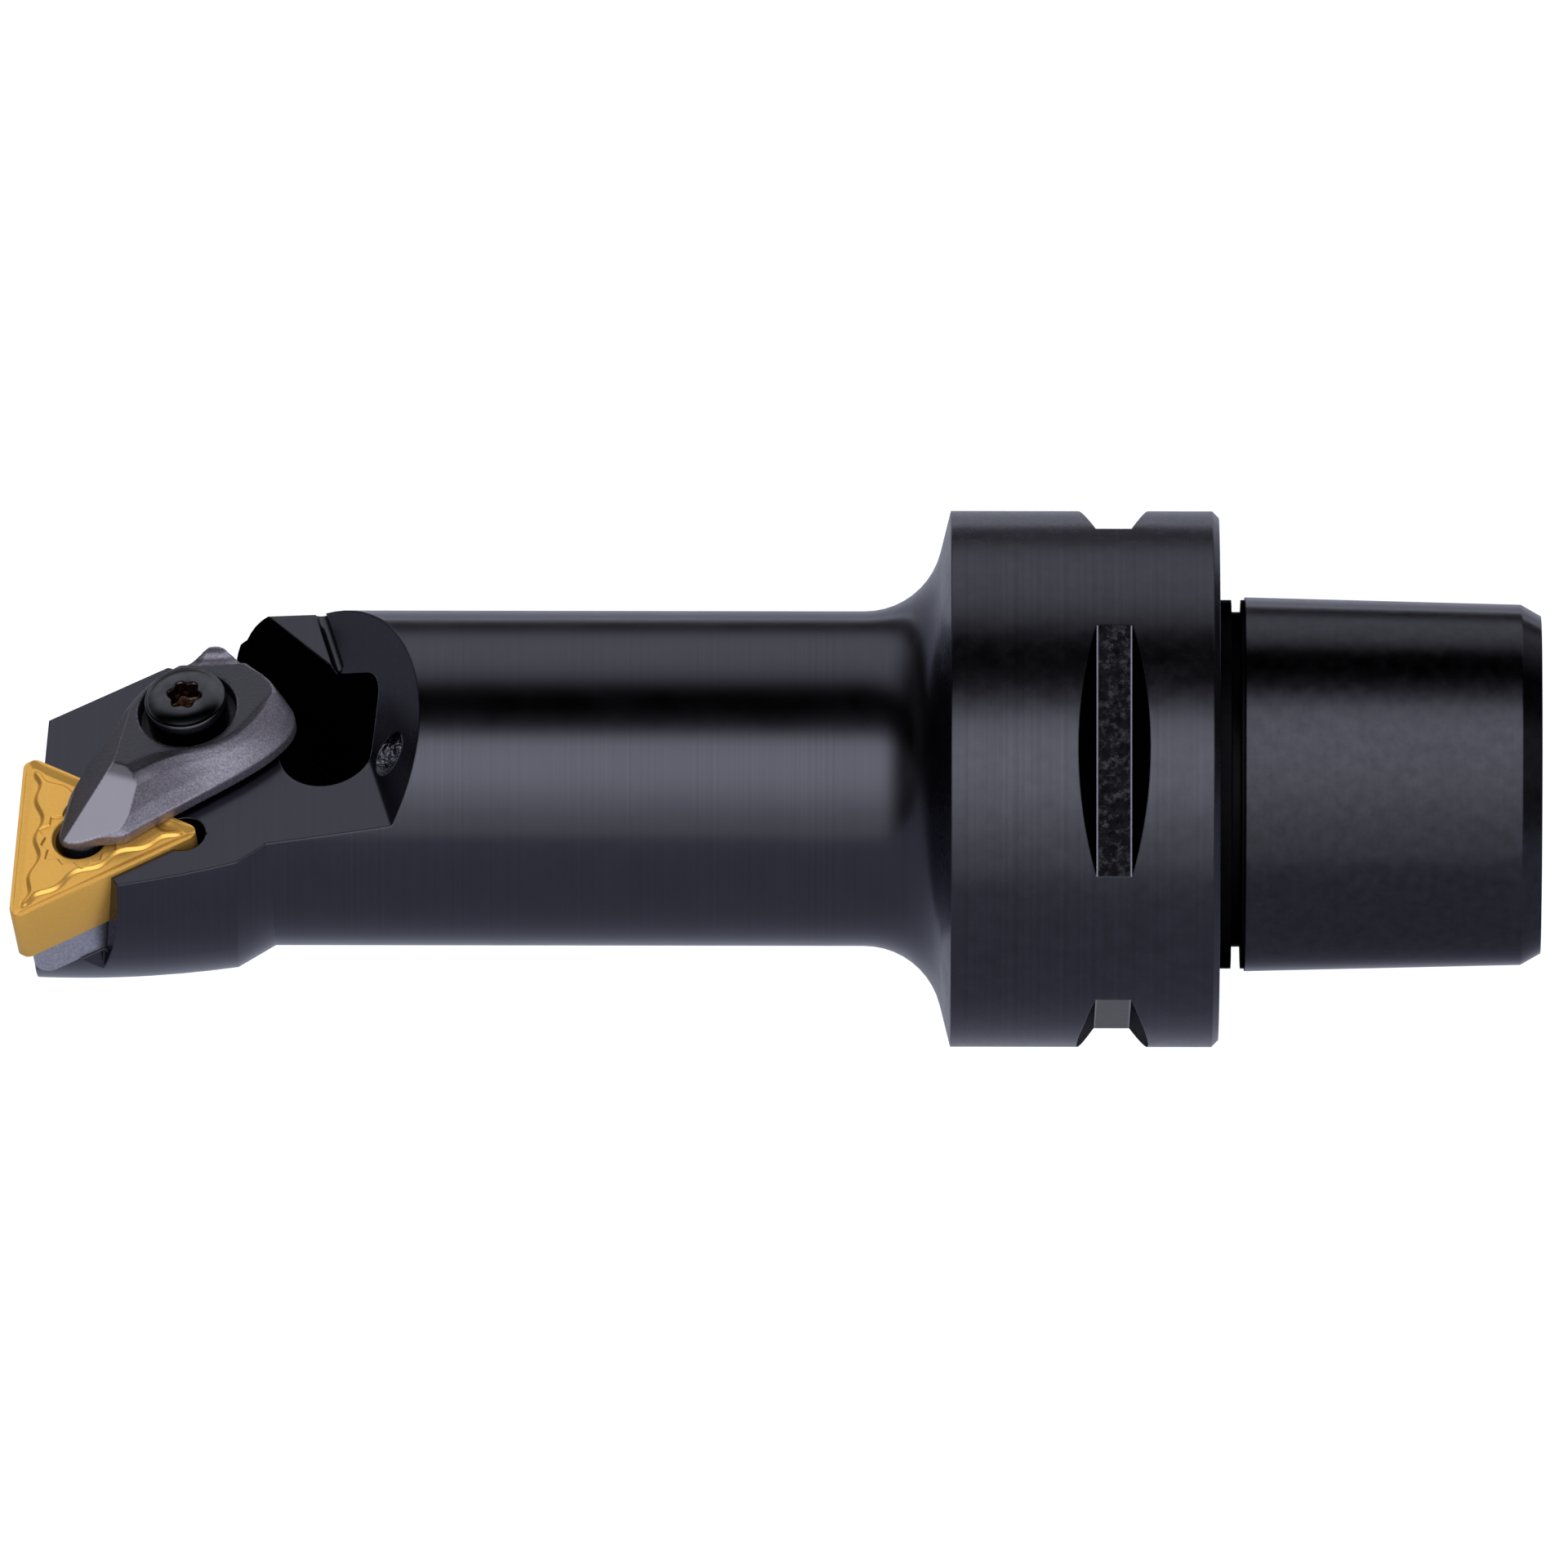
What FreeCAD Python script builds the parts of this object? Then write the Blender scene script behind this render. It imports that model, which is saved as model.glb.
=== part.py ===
import FreeCAD, Part
import math
import os

# Right-hand boring bar with a hollow polygonal taper shank, a milled head and a
# triangular double-sided insert held by a hooked top clamp.
#
# Frame, in mm: the origin is the centre of the gauge face (the flange's face on the
# shank's side). +X runs along the axis towards the shank, so the cutting head is at
# -X. +Z is the normal of the reference plane, on the insert's rake side. The cutting
# corner stands out to -Y.

Vector = FreeCAD.Vector
X_AXIS = Vector(1, 0, 0)
Y_AXIS = Vector(0, 1, 0)
Z_AXIS = Vector(0, 0, 1)

# Flange with its gripper slots
flange_d = 40.0
flange_width = 20.0
flange_rim_chamfer = 0.5
gripper_slot_depth = 2.34
gripper_slot_floor = 2.65
gripper_slot_flank = 30.0
gripper_slot_x = -7.9
gripper_slot_count = 4
gripper_slot_first = 45.0

# Round bar and its neck into the flange
bar_d = 25.0
neck_fillet_r = 5.8
neck_face_angle = 14.0

# Turned form of the head: a cone, then a crowned barrel, about an axis of its own
# that is moved towards the cutting corner
head_shift_y = -0.52
head_shift_z = -0.49
head_cone_start_x = -70.3
head_cone_start_r = 11.79
head_cone_end_x = -73.1
head_cone_end_r = 13.44
head_crown_x = -82.5
head_crown_r = 14.24
head_front_x = -91.0
head_front_r = 14.04
head_overlap = 1.4

# Polygonal taper shank
shank_size = 28.0
shank_lobe = 0.9
shank_taper = 1.0 / 20.0
shank_length = 24.0
shank_lobe_angle = 30.0
shank_sections = 24
shank_chamfer_length = 1.5
shank_chamfer_depth = 0.85
shank_relief_length = 1.9
shank_relief_depth = 0.25
shank_groove_x = 1.25
shank_groove_width = 0.7
shank_groove_r = 12.5
face_undercut_r = 15.1
face_undercut_depth = 0.4

# Bores of the shank
clamp_bore_d = 18.0
clamp_bore_depth = 17.0
clamp_bore_lead = 1.0
clamp_groove_d = 21.0
clamp_groove_start = 6.5
clamp_groove_width = 5.0
clamp_groove_flank = 1.5
draw_thread_d = 12.38
draw_thread_depth = 20.0
drill_point_angle = 118.0

# Coolant passages
coolant_feed_d = 3.0
coolant_feed_overlap = 0.5
coolant_outlet_d = 2.6
coolant_outlet_x = -61.3
coolant_outlet_y = -6.1
coolant_outlet_z = 7.3
coolant_aim_x = -88.0
coolant_aim_y = -15.0
coolant_aim_z = 1.0
coolant_outlet_depth = 6.0
coolant_outlet_lead = 5.0
jet_recess = 1.0
jet_length = 3.5
jet_bore_d = 1.2

# Seat: the insert's top plane, given by its sharp cutting corner and three angles
seat_corner_x = -90.08
seat_corner_y = -17.4
seat_corner_z = 0.0
seat_axial_tilt = 7.6
seat_radial_tilt = 10.5
seat_lead = 5.0

# Triangular insert, double sided
insert_circle_d = 9.525
insert_thickness = 4.76
insert_nose_r = 0.8
insert_hole_d = 3.81
insert_hole_lead = 0.3
insert_land = 0.25
insert_land_r = 0.675
insert_groove_r = 0.32
insert_groove_depth = 0.2
insert_groove_slope = 0.5
insert_ridge_inset = 1.75
insert_ridge_wave = 0.22
insert_ridge_waves = 3
insert_ridge_lean = 0.12

# Shim under the insert and its screw
shim_thickness = 3.18
shim_inset = 0.6
shim_corner_r = 1.2
shim_hole_d = 3.4
shim_screw_d = 3.0
shim_screw_head_d = 5.4
shim_screw_recess = 0.25
shim_screw_end = 4.2
shim_screw_tail = 0.5
shim_screw_socket_width = 2.0
shim_screw_socket_depth = 0.9

# Head milling, in the seat's own coordinates: s along the insert's centre line from
# the cutting corner's edge, t along the front edge, h above the insert's top plane.
# Outlines are given on the deck; the outer contour and the recess are milled along Z.
deck_drop = 0.3
front_face_s = 1.56
far_bevel_start = (1.53, 19.98)
far_bevel_corner = (10.15, 24.80)
far_bevel_end_slope = -0.33
pocket_wall_gap = 0.02
pocket_wall_start = 8.56
side_clearance_inset = 0.45
pocket_relief_r = 1.6
pocket_relief_s = 12.6
ramp_offset = 29.39
ramp_turn = 17.65
ramp_angle = 49.0
ramp_root_r = 0.4
root_groove_r = 0.45
root_groove_end_t = 23.9

# Clamp recess behind the clamp: the path of a round cutter
recess_cutter_d = 7.0
recess_depth = 9.0
recess_centre = (22.75, 16.1)
recess_bend = (22.95, 18.9)
recess_direction = 135.0
screw_boss_width = 4.4
screw_boss_end = 5.2

# Top clamp; q runs from its screw to the nose, l to the side of the cutting corner
clamp_screw_point = (12.5, 18.2)
clamp_height = 2.5
clamp_side_height = 0.9
clamp_shoulder_steps = ((0.0, 0.0), (0.4, 0.25), (0.75, 0.56), (0.93, 0.8), (1.0, 1.0))
clamp_base_outline = (
    (14.20, -0.20), (13.95, 0.60), (13.35, 1.30), (12.55, 1.95), (11.95, 2.65),
    (11.30, 3.35), (10.10, 3.75), (8.40, 4.25), (6.50, 4.85), (4.20, 5.60), (1.70, 6.40),
    (-0.60, 6.95), (-2.70, 7.10), (-4.60, 6.50), (-5.50, 5.20), (-5.80, 3.50),
    (-6.00, 1.80), (-6.20, 0.00), (-6.35, -1.60), (-5.90, -3.00), (-4.40, -3.50),
    (-2.60, -4.05), (-0.80, -4.60), (1.00, -4.75), (2.80, -4.50), (4.60, -4.10),
    (6.20, -3.80), (7.90, -3.50), (9.20, -3.25), (10.30, -2.90), (11.50, -2.25),
    (12.60, -1.60), (13.60, -1.05),
)
clamp_top_outline = (
    (13.60, -0.25), (13.45, 0.15), (12.80, 0.40), (11.90, 0.45), (11.10, 0.40),
    (10.20, 0.20), (9.10, -0.10), (7.70, -0.25), (6.20, 0.10), (4.40, 1.10), (2.40, 3.10),
    (0.40, 4.20), (-1.60, 4.35), (-3.60, 4.20), (-5.00, 4.10), (-5.65, 3.35),
    (-5.85, 1.75), (-6.05, 0.00), (-6.20, -1.50), (-5.60, -2.70), (-4.20, -3.05),
    (-2.50, -3.45), (-0.75, -3.85), (0.90, -3.85), (2.60, -3.55), (4.30, -2.85),
    (5.90, -2.15), (7.60, -1.55), (9.00, -1.35), (10.10, -1.25), (11.30, -1.10),
    (12.30, -0.95), (13.10, -0.70),
)
clamp_facet_start = 6.4
clamp_facet_turn = 18.0
clamp_nose_height = 0.75
clamp_groove_r = 0.8
clamp_groove_t = 23.4
clamp_groove_start_s = 11.6
clamp_counterbore_d = 7.4
clamp_counterbore_depth = 1.2
clamp_hole_d = 4.4
clamp_pin_d = 3.2
clamp_pin_length = 1.6
clamp_pin_gap = 0.02
clamp_foot_depth = 3.0
clamp_foot_gap = 0.05
clamp_foot_width = 6.4
clamp_foot_thickness = 1.7

# Clamp screw and lifting spring
clamp_screw_d = 4.0
screw_running_gap = 0.03
clamp_screw_head_d = 6.1
clamp_screw_head_height = 2.8
clamp_screw_head_chamfer = 0.5
clamp_screw_end = 12.0
clamp_screw_tail = 1.0
socket_d = 2.75
socket_lobe_r = 0.34
socket_depth = 1.7
socket_lobes = 6
spring_pocket_d = 6.0
spring_pocket_depth = 5.0
spring_mean_d = 4.9
spring_wire_d = 0.5
spring_turns = 3.0
spring_wire_sides = 6


def cylinder(diameter, length, start, direction):
    return Part.makeCylinder(diameter / 2.0, length, start, direction)


def cone(start_d, end_d, length, start, direction):
    return Part.makeCone(start_d / 2.0, end_d / 2.0, length, start, direction)


def turned(stations):
    """Solid of revolution about the X axis through (x, radius) stations."""
    points = [Vector(x, r, 0) for x, r in stations]
    wire = Part.makePolygon(points + [points[0]])
    return Part.Face(wire).revolve(Vector(0, 0, 0), X_AXIS, 360.0)


def prism(points, low, high):
    """Straight block over a flat outline, from height low to height high."""
    corners = [Vector(x, y, low) for x, y in points]
    wire = Part.makePolygon(corners + [corners[0]])
    return Part.Face(wire).extrude(Vector(0, 0, high - low))


def smooth_loop(points, height):
    """Closed smooth wire through the points at one height."""
    curve = Part.BSplineCurve()
    curve.interpolate(Points=[Vector(x, y, height) for x, y in points], PeriodicFlag=True)
    return Part.Wire([curve.toShape()])


def moved(shape, placement):
    result = shape.copy()
    result.Placement = placement.multiply(shape.Placement)
    return result


# The seat's frame in the part's frame
seat_rotation = FreeCAD.Rotation(Y_AXIS, -seat_axial_tilt)
seat_rotation = seat_rotation.multiply(FreeCAD.Rotation(X_AXIS, seat_radial_tilt))
seat_rotation = seat_rotation.multiply(FreeCAD.Rotation(Z_AXIS, -seat_lead))
seat_corner = Vector(seat_corner_x, seat_corner_y, seat_corner_z)
seat = FreeCAD.Placement(seat_corner, seat_rotation)

# Sizes that follow from the ones above
flange_r = flange_d / 2.0
bar_end_x = head_cone_end_x - head_overlap
bar_r = bar_d / 2.0
insert_side = insert_circle_d * math.sqrt(3.0)
insert_depth = insert_circle_d * 1.5
insert_centre = Vector(insert_circle_d / 2.0, insert_side / 2.0, 0)
seat_floor = -(insert_thickness + shim_thickness)
deck = -deck_drop
triangle_half = math.radians(30.0)

coolant_outlet_point = Vector(coolant_outlet_x, coolant_outlet_y, coolant_outlet_z)
coolant_aim = Vector(coolant_aim_x, coolant_aim_y, coolant_aim_z)

# Cutters reach this far past the stock, and start this far outside a face
reach = 1.5 * flange_d
cut_over = 1.0


def neck_profile():
    """Stations from the bar through the neck's fillet to the flange's front edge."""
    face_tilt = math.radians(neck_face_angle)
    arc_turn = math.pi / 2.0 - face_tilt
    arc_length_x = neck_fillet_r * math.sin(arc_turn)
    arc_rise = neck_fillet_r * (1.0 - math.cos(arc_turn))
    face_length_x = (flange_r - bar_r - arc_rise) * math.tan(face_tilt)
    arc_start_x = -flange_width - face_length_x - arc_length_x
    centre = Vector(arc_start_x, bar_r + neck_fillet_r, 0)

    def on_arc(angle):
        along = neck_fillet_r * math.sin(angle)
        across = neck_fillet_r * math.cos(angle)
        return Vector(centre.x + along, centre.y - across, 0)

    return on_arc(0.0), on_arc(arc_turn / 2.0), on_arc(arc_turn)


def turned_blank():
    """Bar, head and flange as turned, up to the gauge face."""
    neck_start, neck_middle, neck_end = neck_profile()
    flange_front = Vector(-flange_width, flange_r, 0)
    rim_start = Vector(-flange_rim_chamfer, flange_r, 0)
    rim_end = Vector(0, flange_r - flange_rim_chamfer, 0)
    edges = [
        Part.makeLine(Vector(bar_end_x, 0, 0), Vector(bar_end_x, bar_r, 0)),
        Part.makeLine(Vector(bar_end_x, bar_r, 0), neck_start),
        Part.Arc(neck_start, neck_middle, neck_end).toBSpline().toShape(),
        Part.makeLine(neck_end, flange_front),
        Part.makeLine(flange_front, rim_start),
        Part.makeLine(rim_start, rim_end),
        Part.makeLine(rim_end, Vector(0, 0, 0)),
        Part.makeLine(Vector(0, 0, 0), Vector(bar_end_x, 0, 0)),
    ]
    bar = Part.Face(Part.Wire(edges)).revolve(Vector(0, 0, 0), X_AXIS, 360.0)
    undercut_start = Vector(-face_undercut_depth, 0, 0)
    undercut = cylinder(2.0 * face_undercut_r, cut_over, undercut_start, X_AXIS)
    return bar.cut(undercut).fuse(turned_head())


def turned_head():
    """Cone and crowned barrel about the head's own axis."""
    front = Vector(head_front_x, head_front_r, 0)
    crown = Vector(head_crown_x, head_crown_r, 0)
    cone_end = Vector(head_cone_end_x, head_cone_end_r, 0)
    cone_start = Vector(head_cone_start_x, head_cone_start_r, 0)
    inner = Vector(head_cone_start_x, 0, 0)
    outer = Vector(head_front_x, 0, 0)
    edges = [
        Part.makeLine(outer, front),
        Part.Arc(front, crown, cone_end).toShape(),
        Part.makeLine(cone_end, cone_start),
        Part.makeLine(cone_start, inner),
        Part.makeLine(inner, outer),
    ]
    head = Part.Face(Part.Wire(edges)).revolve(Vector(0, 0, 0), X_AXIS, 360.0)
    head.translate(Vector(0, head_shift_y, head_shift_z))
    return head


def lobed_loop(x, size):
    """Three-lobed curve of constant width across the axis at station x."""
    points = []
    for i in range(shank_sections):
        angle = 2.0 * math.pi * i / shank_sections
        phase = 3.0 * (angle - math.radians(shank_lobe_angle))
        support = size / 2.0 - shank_lobe * math.cos(phase)
        slope = 3.0 * shank_lobe * math.sin(phase)
        y = support * math.cos(angle) - slope * math.sin(angle)
        z = support * math.sin(angle) + slope * math.cos(angle)
        points.append(Vector(x, y, z))
    curve = Part.BSplineCurve()
    curve.interpolate(Points=points, PeriodicFlag=True)
    return Part.Wire([curve.toShape()])


def shank():
    """Hollow polygon taper with its relief at the gauge face and its end chamfer."""
    relief_size = shank_size - 2.0 * shank_relief_depth
    chamfer_x = shank_length - shank_chamfer_length
    chamfer_size = shank_size - chamfer_x * shank_taper
    end_size = chamfer_size - 2.0 * shank_chamfer_depth
    taper_start_size = shank_size - shank_relief_length * shank_taper
    relief = Part.makeLoft(
        [lobed_loop(-cut_over, relief_size), lobed_loop(shank_relief_length, relief_size)], True, True
    )
    taper = Part.makeLoft(
        [lobed_loop(shank_relief_length, taper_start_size), lobed_loop(chamfer_x, chamfer_size)],
        True,
        True,
    )
    chamfer = Part.makeLoft(
        [lobed_loop(chamfer_x, chamfer_size), lobed_loop(shank_length, end_size)], True, True
    )
    groove_start = shank_groove_x - shank_groove_width / 2.0
    start = Vector(groove_start, 0, 0)
    ring = cylinder(flange_d, shank_groove_width, start, X_AXIS)
    groove = ring.cut(cylinder(2.0 * shank_groove_r, shank_groove_width, start, X_AXIS))
    return relief.fuse(taper).fuse(chamfer).cut(groove)


def shank_bores():
    """Mouth bore with its clamping groove, and the draw thread behind it."""
    mouth = shank_length
    bore_r = clamp_bore_d / 2.0
    groove_r = clamp_groove_d / 2.0
    groove_front = mouth - clamp_groove_start
    groove_back = groove_front - clamp_groove_width
    bore_end = mouth - clamp_bore_depth
    thread_r = draw_thread_d / 2.0
    thread_end = bore_end - draw_thread_depth
    point_length = thread_r / math.tan(math.radians(drill_point_angle / 2.0))
    return turned([
        (mouth + cut_over, 0),
        (mouth + cut_over, bore_r + clamp_bore_lead + cut_over),
        (mouth, bore_r + clamp_bore_lead),
        (mouth - clamp_bore_lead, bore_r),
        (groove_front + clamp_groove_flank, bore_r),
        (groove_front, groove_r),
        (groove_back, groove_r),
        (groove_back - clamp_groove_flank, bore_r),
        (bore_end, bore_r),
        (bore_end, thread_r),
        (thread_end, thread_r),
        (thread_end - point_length, 0),
    ])


def gripper_slots():
    """Straight milled slots across the flange's rim for the changer's fingers."""
    floor_r = flange_r - gripper_slot_depth
    half_floor = gripper_slot_floor / 2.0
    rise = gripper_slot_depth + cut_over
    half_top = half_floor + rise * math.tan(math.radians(gripper_slot_flank))
    outline = [
        Vector(gripper_slot_x - half_floor, -reach / 2.0, floor_r),
        Vector(gripper_slot_x + half_floor, -reach / 2.0, floor_r),
        Vector(gripper_slot_x + half_top, -reach / 2.0, floor_r + rise),
        Vector(gripper_slot_x - half_top, -reach / 2.0, floor_r + rise),
    ]
    slot = Part.Face(Part.makePolygon(outline + [outline[0]])).extrude(Vector(0, reach, 0))
    slots = []
    for i in range(gripper_slot_count):
        turn = gripper_slot_first + i * 360.0 / gripper_slot_count
        slots.append(slot.rotated(Vector(0, 0, 0), X_AXIS, turn))
    return slots


def gullet():
    """Space over the deck, closed at the back by the ramp."""
    slope = math.radians(ramp_angle)
    rise = reach / 2.0
    run = rise / math.tan(slope)
    turn_half = slope / 2.0
    root_length = ramp_root_r * math.tan(turn_half)
    low = Vector(ramp_offset - root_length, 0, deck)
    high = Vector(
        ramp_offset + root_length * math.cos(slope), 0, deck + root_length * math.sin(slope)
    )
    middle = Vector(
        low.x + ramp_root_r * math.sin(turn_half), 0, deck + ramp_root_r * (1.0 - math.cos(turn_half))
    )
    top = Vector(ramp_offset + run, 0, deck + rise)
    edges = [
        Part.makeLine(Vector(-reach, 0, deck), low),
        Part.Arc(low, middle, high).toShape(),
        Part.makeLine(high, top),
        Part.makeLine(top, Vector(-reach, 0, deck + rise)),
        Part.makeLine(Vector(-reach, 0, deck + rise), Vector(-reach, 0, deck)),
    ]
    section = Part.Face(Part.Wire(edges))
    section.translate(Vector(0, -reach, 0))
    space = section.extrude(Vector(0, 2.0 * reach, 0))
    return space.rotated(Vector(0, 0, 0), Z_AXIS, ramp_turn)


def root_groove():
    """Small run-out groove along the far part of the ramp's root."""
    turn = math.radians(ramp_turn)
    across = Vector(math.cos(turn), math.sin(turn), 0)
    along = Vector(-math.sin(turn), math.cos(turn), 0)
    start_along = (root_groove_end_t - ramp_offset * across.y) / along.y
    start = across * ramp_offset + along * start_along + Vector(0, 0, deck)
    return Part.makeCylinder(root_groove_r, reach, start, along)


def on_deck(s, t):
    """Point of the part's frame at s and t on the deck."""
    return seat.multVec(Vector(s, t, deck))


def upright_prism(points):
    """Block over an outline that is given on the deck, upright along Z."""
    places = [on_deck(s, t) for s, t in points]
    return prism([(place.x, place.y) for place in places], -reach, reach)


def recess():
    """Space behind the clamp: an upright round cutter's path with one bend."""
    start = on_deck(*recess_centre)
    floor = start.z - recess_depth
    turn = math.radians(recess_direction)
    bend = on_deck(*recess_bend)
    way_out = on_deck(
        recess_bend[0] + reach * math.cos(turn), recess_bend[1] + reach * math.sin(turn)
    )
    radius = recess_cutter_d / 2.0
    stops = [Vector(place.x, place.y, floor) for place in (start, bend, way_out)]
    space = Part.makeCylinder(radius, reach, stops[0], Z_AXIS)
    space = space.fuse(Part.makeCylinder(radius, reach, stops[1], Z_AXIS))
    for first, last in zip(stops, stops[1:]):
        way = (last - first).normalize()
        side = Vector(-way.y, way.x, 0) * radius
        corners = [first + side, last + side, last - side, first - side]
        lane = Part.Face(Part.makePolygon(corners + [corners[0]])).extrude(Vector(0, 0, reach))
        space = space.fuse(lane)
    return space.removeSplitter().cut(screw_boss())


def recess_sides():
    """Unit vectors along the recess and across it, in the seat's coordinates."""
    turn = math.radians(recess_direction)
    along = Vector(math.cos(turn), math.sin(turn), 0)
    across = Vector(math.sin(turn), -math.cos(turn), 0)
    return along, across


def screw_boss():
    """Block around the clamp screw's hole, left standing at the recess's front."""
    along, across = recess_sides()
    screw = Vector(clamp_screw_point[0], clamp_screw_point[1], -reach)
    front = across * screw_boss_width
    back = across * -reach
    near = along * -screw_boss_end
    far = along * reach
    corners = [screw + near + front, screw + far + front, screw + far + back, screw + near + back]
    block = Part.Face(Part.makePolygon(corners + [corners[0]])).extrude(Vector(0, 0, 2.0 * reach))
    return moved(block, seat)


def front_and_bevels():
    """Space in front of the front face and beyond the bevels on the far side."""
    along, across = recess_sides()
    screw_s, screw_t = clamp_screw_point
    boss_front = (screw_s + screw_t) * across.x + screw_boss_width
    corner_s, corner_t = far_bevel_corner
    corner_across = (corner_s + corner_t) * across.x
    run = (boss_front - corner_across) / (across.x + far_bevel_end_slope * across.y)
    near = Vector(corner_s + run, corner_t + run * far_bevel_end_slope, 0)
    far = near + across * recess_cutter_d
    out = far + along * reach
    outline = [
        (front_face_s, -reach),
        far_bevel_start,
        far_bevel_corner,
        (near.x, near.y),
        (far.x, far.y),
        (out.x, out.y),
        (-reach, reach),
        (-reach, -reach),
    ]
    return upright_prism(outline)


def side_clearance():
    """Space beside the seat, on the cutting corner's side, up to the pocket's wall.

    Its side face stands square on the seat, like the shim, and its end wall is upright.
    """
    half = triangle_half
    wall = Vector(math.cos(half), math.sin(half), 0)
    out = Vector(math.sin(half), -math.cos(half), 0)
    inner = out * -side_clearance_inset
    side = [inner - wall * reach, inner + wall * reach, inner + (wall + out) * reach]
    side.append(inner + (out - wall) * reach)
    beside = moved(prism([(place.x, place.y) for place in side], -reach, reach), seat)
    end = wall * pocket_wall_start
    ahead = [end - out * reach, end + out * reach, out * reach - wall * reach]
    ahead.append(-(out + wall) * reach)
    return beside.common(upright_prism([(place.x, place.y) for place in ahead]))


def seat_pocket():
    """Pocket of the shim and insert: two walls and a relieved corner."""
    half = triangle_half
    gap = pocket_wall_gap
    back = insert_side * math.cos(half) + gap
    start_t = (back + reach * math.sin(half)) / math.cos(half)
    meet_s = insert_depth + gap / math.sin(half)
    out = Vector(math.sin(half), -math.cos(half), 0)
    front = Vector(math.cos(half), math.sin(half), 0) * -reach + out * gap
    outline = [
        (-reach, start_t),
        (meet_s, insert_side / 2.0),
        (front.x, front.y),
    ]
    pocket = prism(outline, seat_floor, reach)
    relief_start = Vector(pocket_relief_s, insert_side / 2.0, seat_floor)
    relief = Part.makeCylinder(pocket_relief_r, reach, relief_start, Z_AXIS)
    return pocket.fuse(relief)


def screw_holes():
    """Tapped holes of both screws, and the spring's pocket."""
    screw_s, screw_t = clamp_screw_point
    top = Vector(screw_s, screw_t, deck + cut_over)
    hole_d = clamp_screw_d + 2.0 * screw_running_gap
    hole_length = clamp_screw_end + clamp_screw_tail + cut_over + deck
    clamp_hole = cylinder(hole_d, hole_length, top, -Z_AXIS)
    pocket = cylinder(spring_pocket_d, spring_pocket_depth + cut_over, top, -Z_AXIS)
    shim_top = insert_centre + Vector(0, 0, seat_floor + cut_over)
    shim_hole_length = shim_screw_end + shim_screw_tail + cut_over
    shim_hole = cylinder(shim_screw_d, shim_hole_length, shim_top, -Z_AXIS)
    return clamp_hole.fuse(pocket).fuse(shim_hole)


def coolant_direction():
    return (coolant_aim - coolant_outlet_point).normalize()


def coolant_passages():
    """Outlet hole aimed at the cutting corner, fed by a slanted hole from the thread."""
    aim = coolant_direction()
    back = coolant_outlet_point - aim * coolant_outlet_depth
    outlet_length = coolant_outlet_depth + coolant_outlet_lead
    outlet = cylinder(coolant_outlet_d, outlet_length, back, aim)
    thread_end = shank_length - clamp_bore_depth - draw_thread_depth
    feed_start = Vector(thread_end + coolant_feed_overlap, 0, 0)
    feed_way = back - feed_start
    feed = cylinder(coolant_feed_d, feed_way.Length + coolant_feed_overlap, feed_start, feed_way)
    return outlet.fuse(feed)


def tool_body():
    body = turned_blank().fuse(shank())
    for slot in gripper_slots():
        body = body.cut(slot)
    body = body.cut(shank_bores())
    for feature in (gullet(), root_groove(), seat_pocket(), screw_holes()):
        body = body.cut(moved(feature, seat))
    for feature in (front_and_bevels(), side_clearance(), recess(), coolant_passages()):
        body = body.cut(feature)
    return body.Solids[0]


def rounded_triangle(inset, corner_r, height):
    """Wire of the insert's triangle, moved in by inset, with rounded corners."""
    corners = triangle_corners(inset)
    edges = []
    ends = []
    trim = corner_r / math.tan(triangle_half)
    for i, corner in enumerate(corners):
        before = (corners[i - 1] - corner).normalize()
        after = (corners[(i + 1) % 3] - corner).normalize()
        inward = (before + after).normalize()
        start = corner + before * trim
        end = corner + after * trim
        middle = corner + inward * corner_r
        ends.append((start, middle, end))
    lift = Vector(0, 0, height)
    for i, (start, middle, end) in enumerate(ends):
        following = ends[(i + 1) % 3][0]
        edges.append(Part.Arc(start + lift, middle + lift, end + lift).toShape())
        edges.append(Part.makeLine(end + lift, following + lift))
    return Part.Wire(edges)


def triangle_corners(inset):
    """Corners of the insert's sharp triangle, moved in by inset, around its centre."""
    reach_out = insert_circle_d - 2.0 * inset
    corners = []
    for angle in (0.0, 120.0, 240.0):
        turn = math.radians(angle)
        way = Vector(math.cos(turn), math.sin(turn), 0)
        corners.append(insert_centre + way * reach_out)
    return corners


def ridge_points(inset):
    """Wavy triangle of the chip breaker's ridge, three waves to a side."""
    corners = triangle_corners(inset)
    points = []
    steps = 4 * insert_ridge_waves
    for i, corner in enumerate(corners):
        following = corners[(i + 1) % 3]
        side = following - corner
        inward = (insert_centre - (corner + following) * 0.5).normalize()
        for step in range(1, steps):
            share = step / float(steps)
            wave = insert_ridge_wave * math.cos(2.0 * math.pi * insert_ridge_waves * share)
            place = corner + side * share + inward * wave
            points.append((place.x, place.y))
    return points


def breaker_groove():
    """Groove of one face, from the land down and up again to the wavy ridge."""
    land = rounded_triangle(insert_land, insert_land_r, 0)
    floor_inset = insert_land + insert_groove_slope
    floor = rounded_triangle(floor_inset, insert_groove_r, -insert_groove_depth)
    groove = Part.makeLoft([land, floor], True, True)
    low = smooth_loop(ridge_points(insert_ridge_inset - insert_ridge_lean), -insert_groove_depth)
    high = smooth_loop(ridge_points(insert_ridge_inset + insert_ridge_lean), 0)
    plateau = Part.makeLoft([low, high], True, False)
    return groove.cut(plateau)


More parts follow.
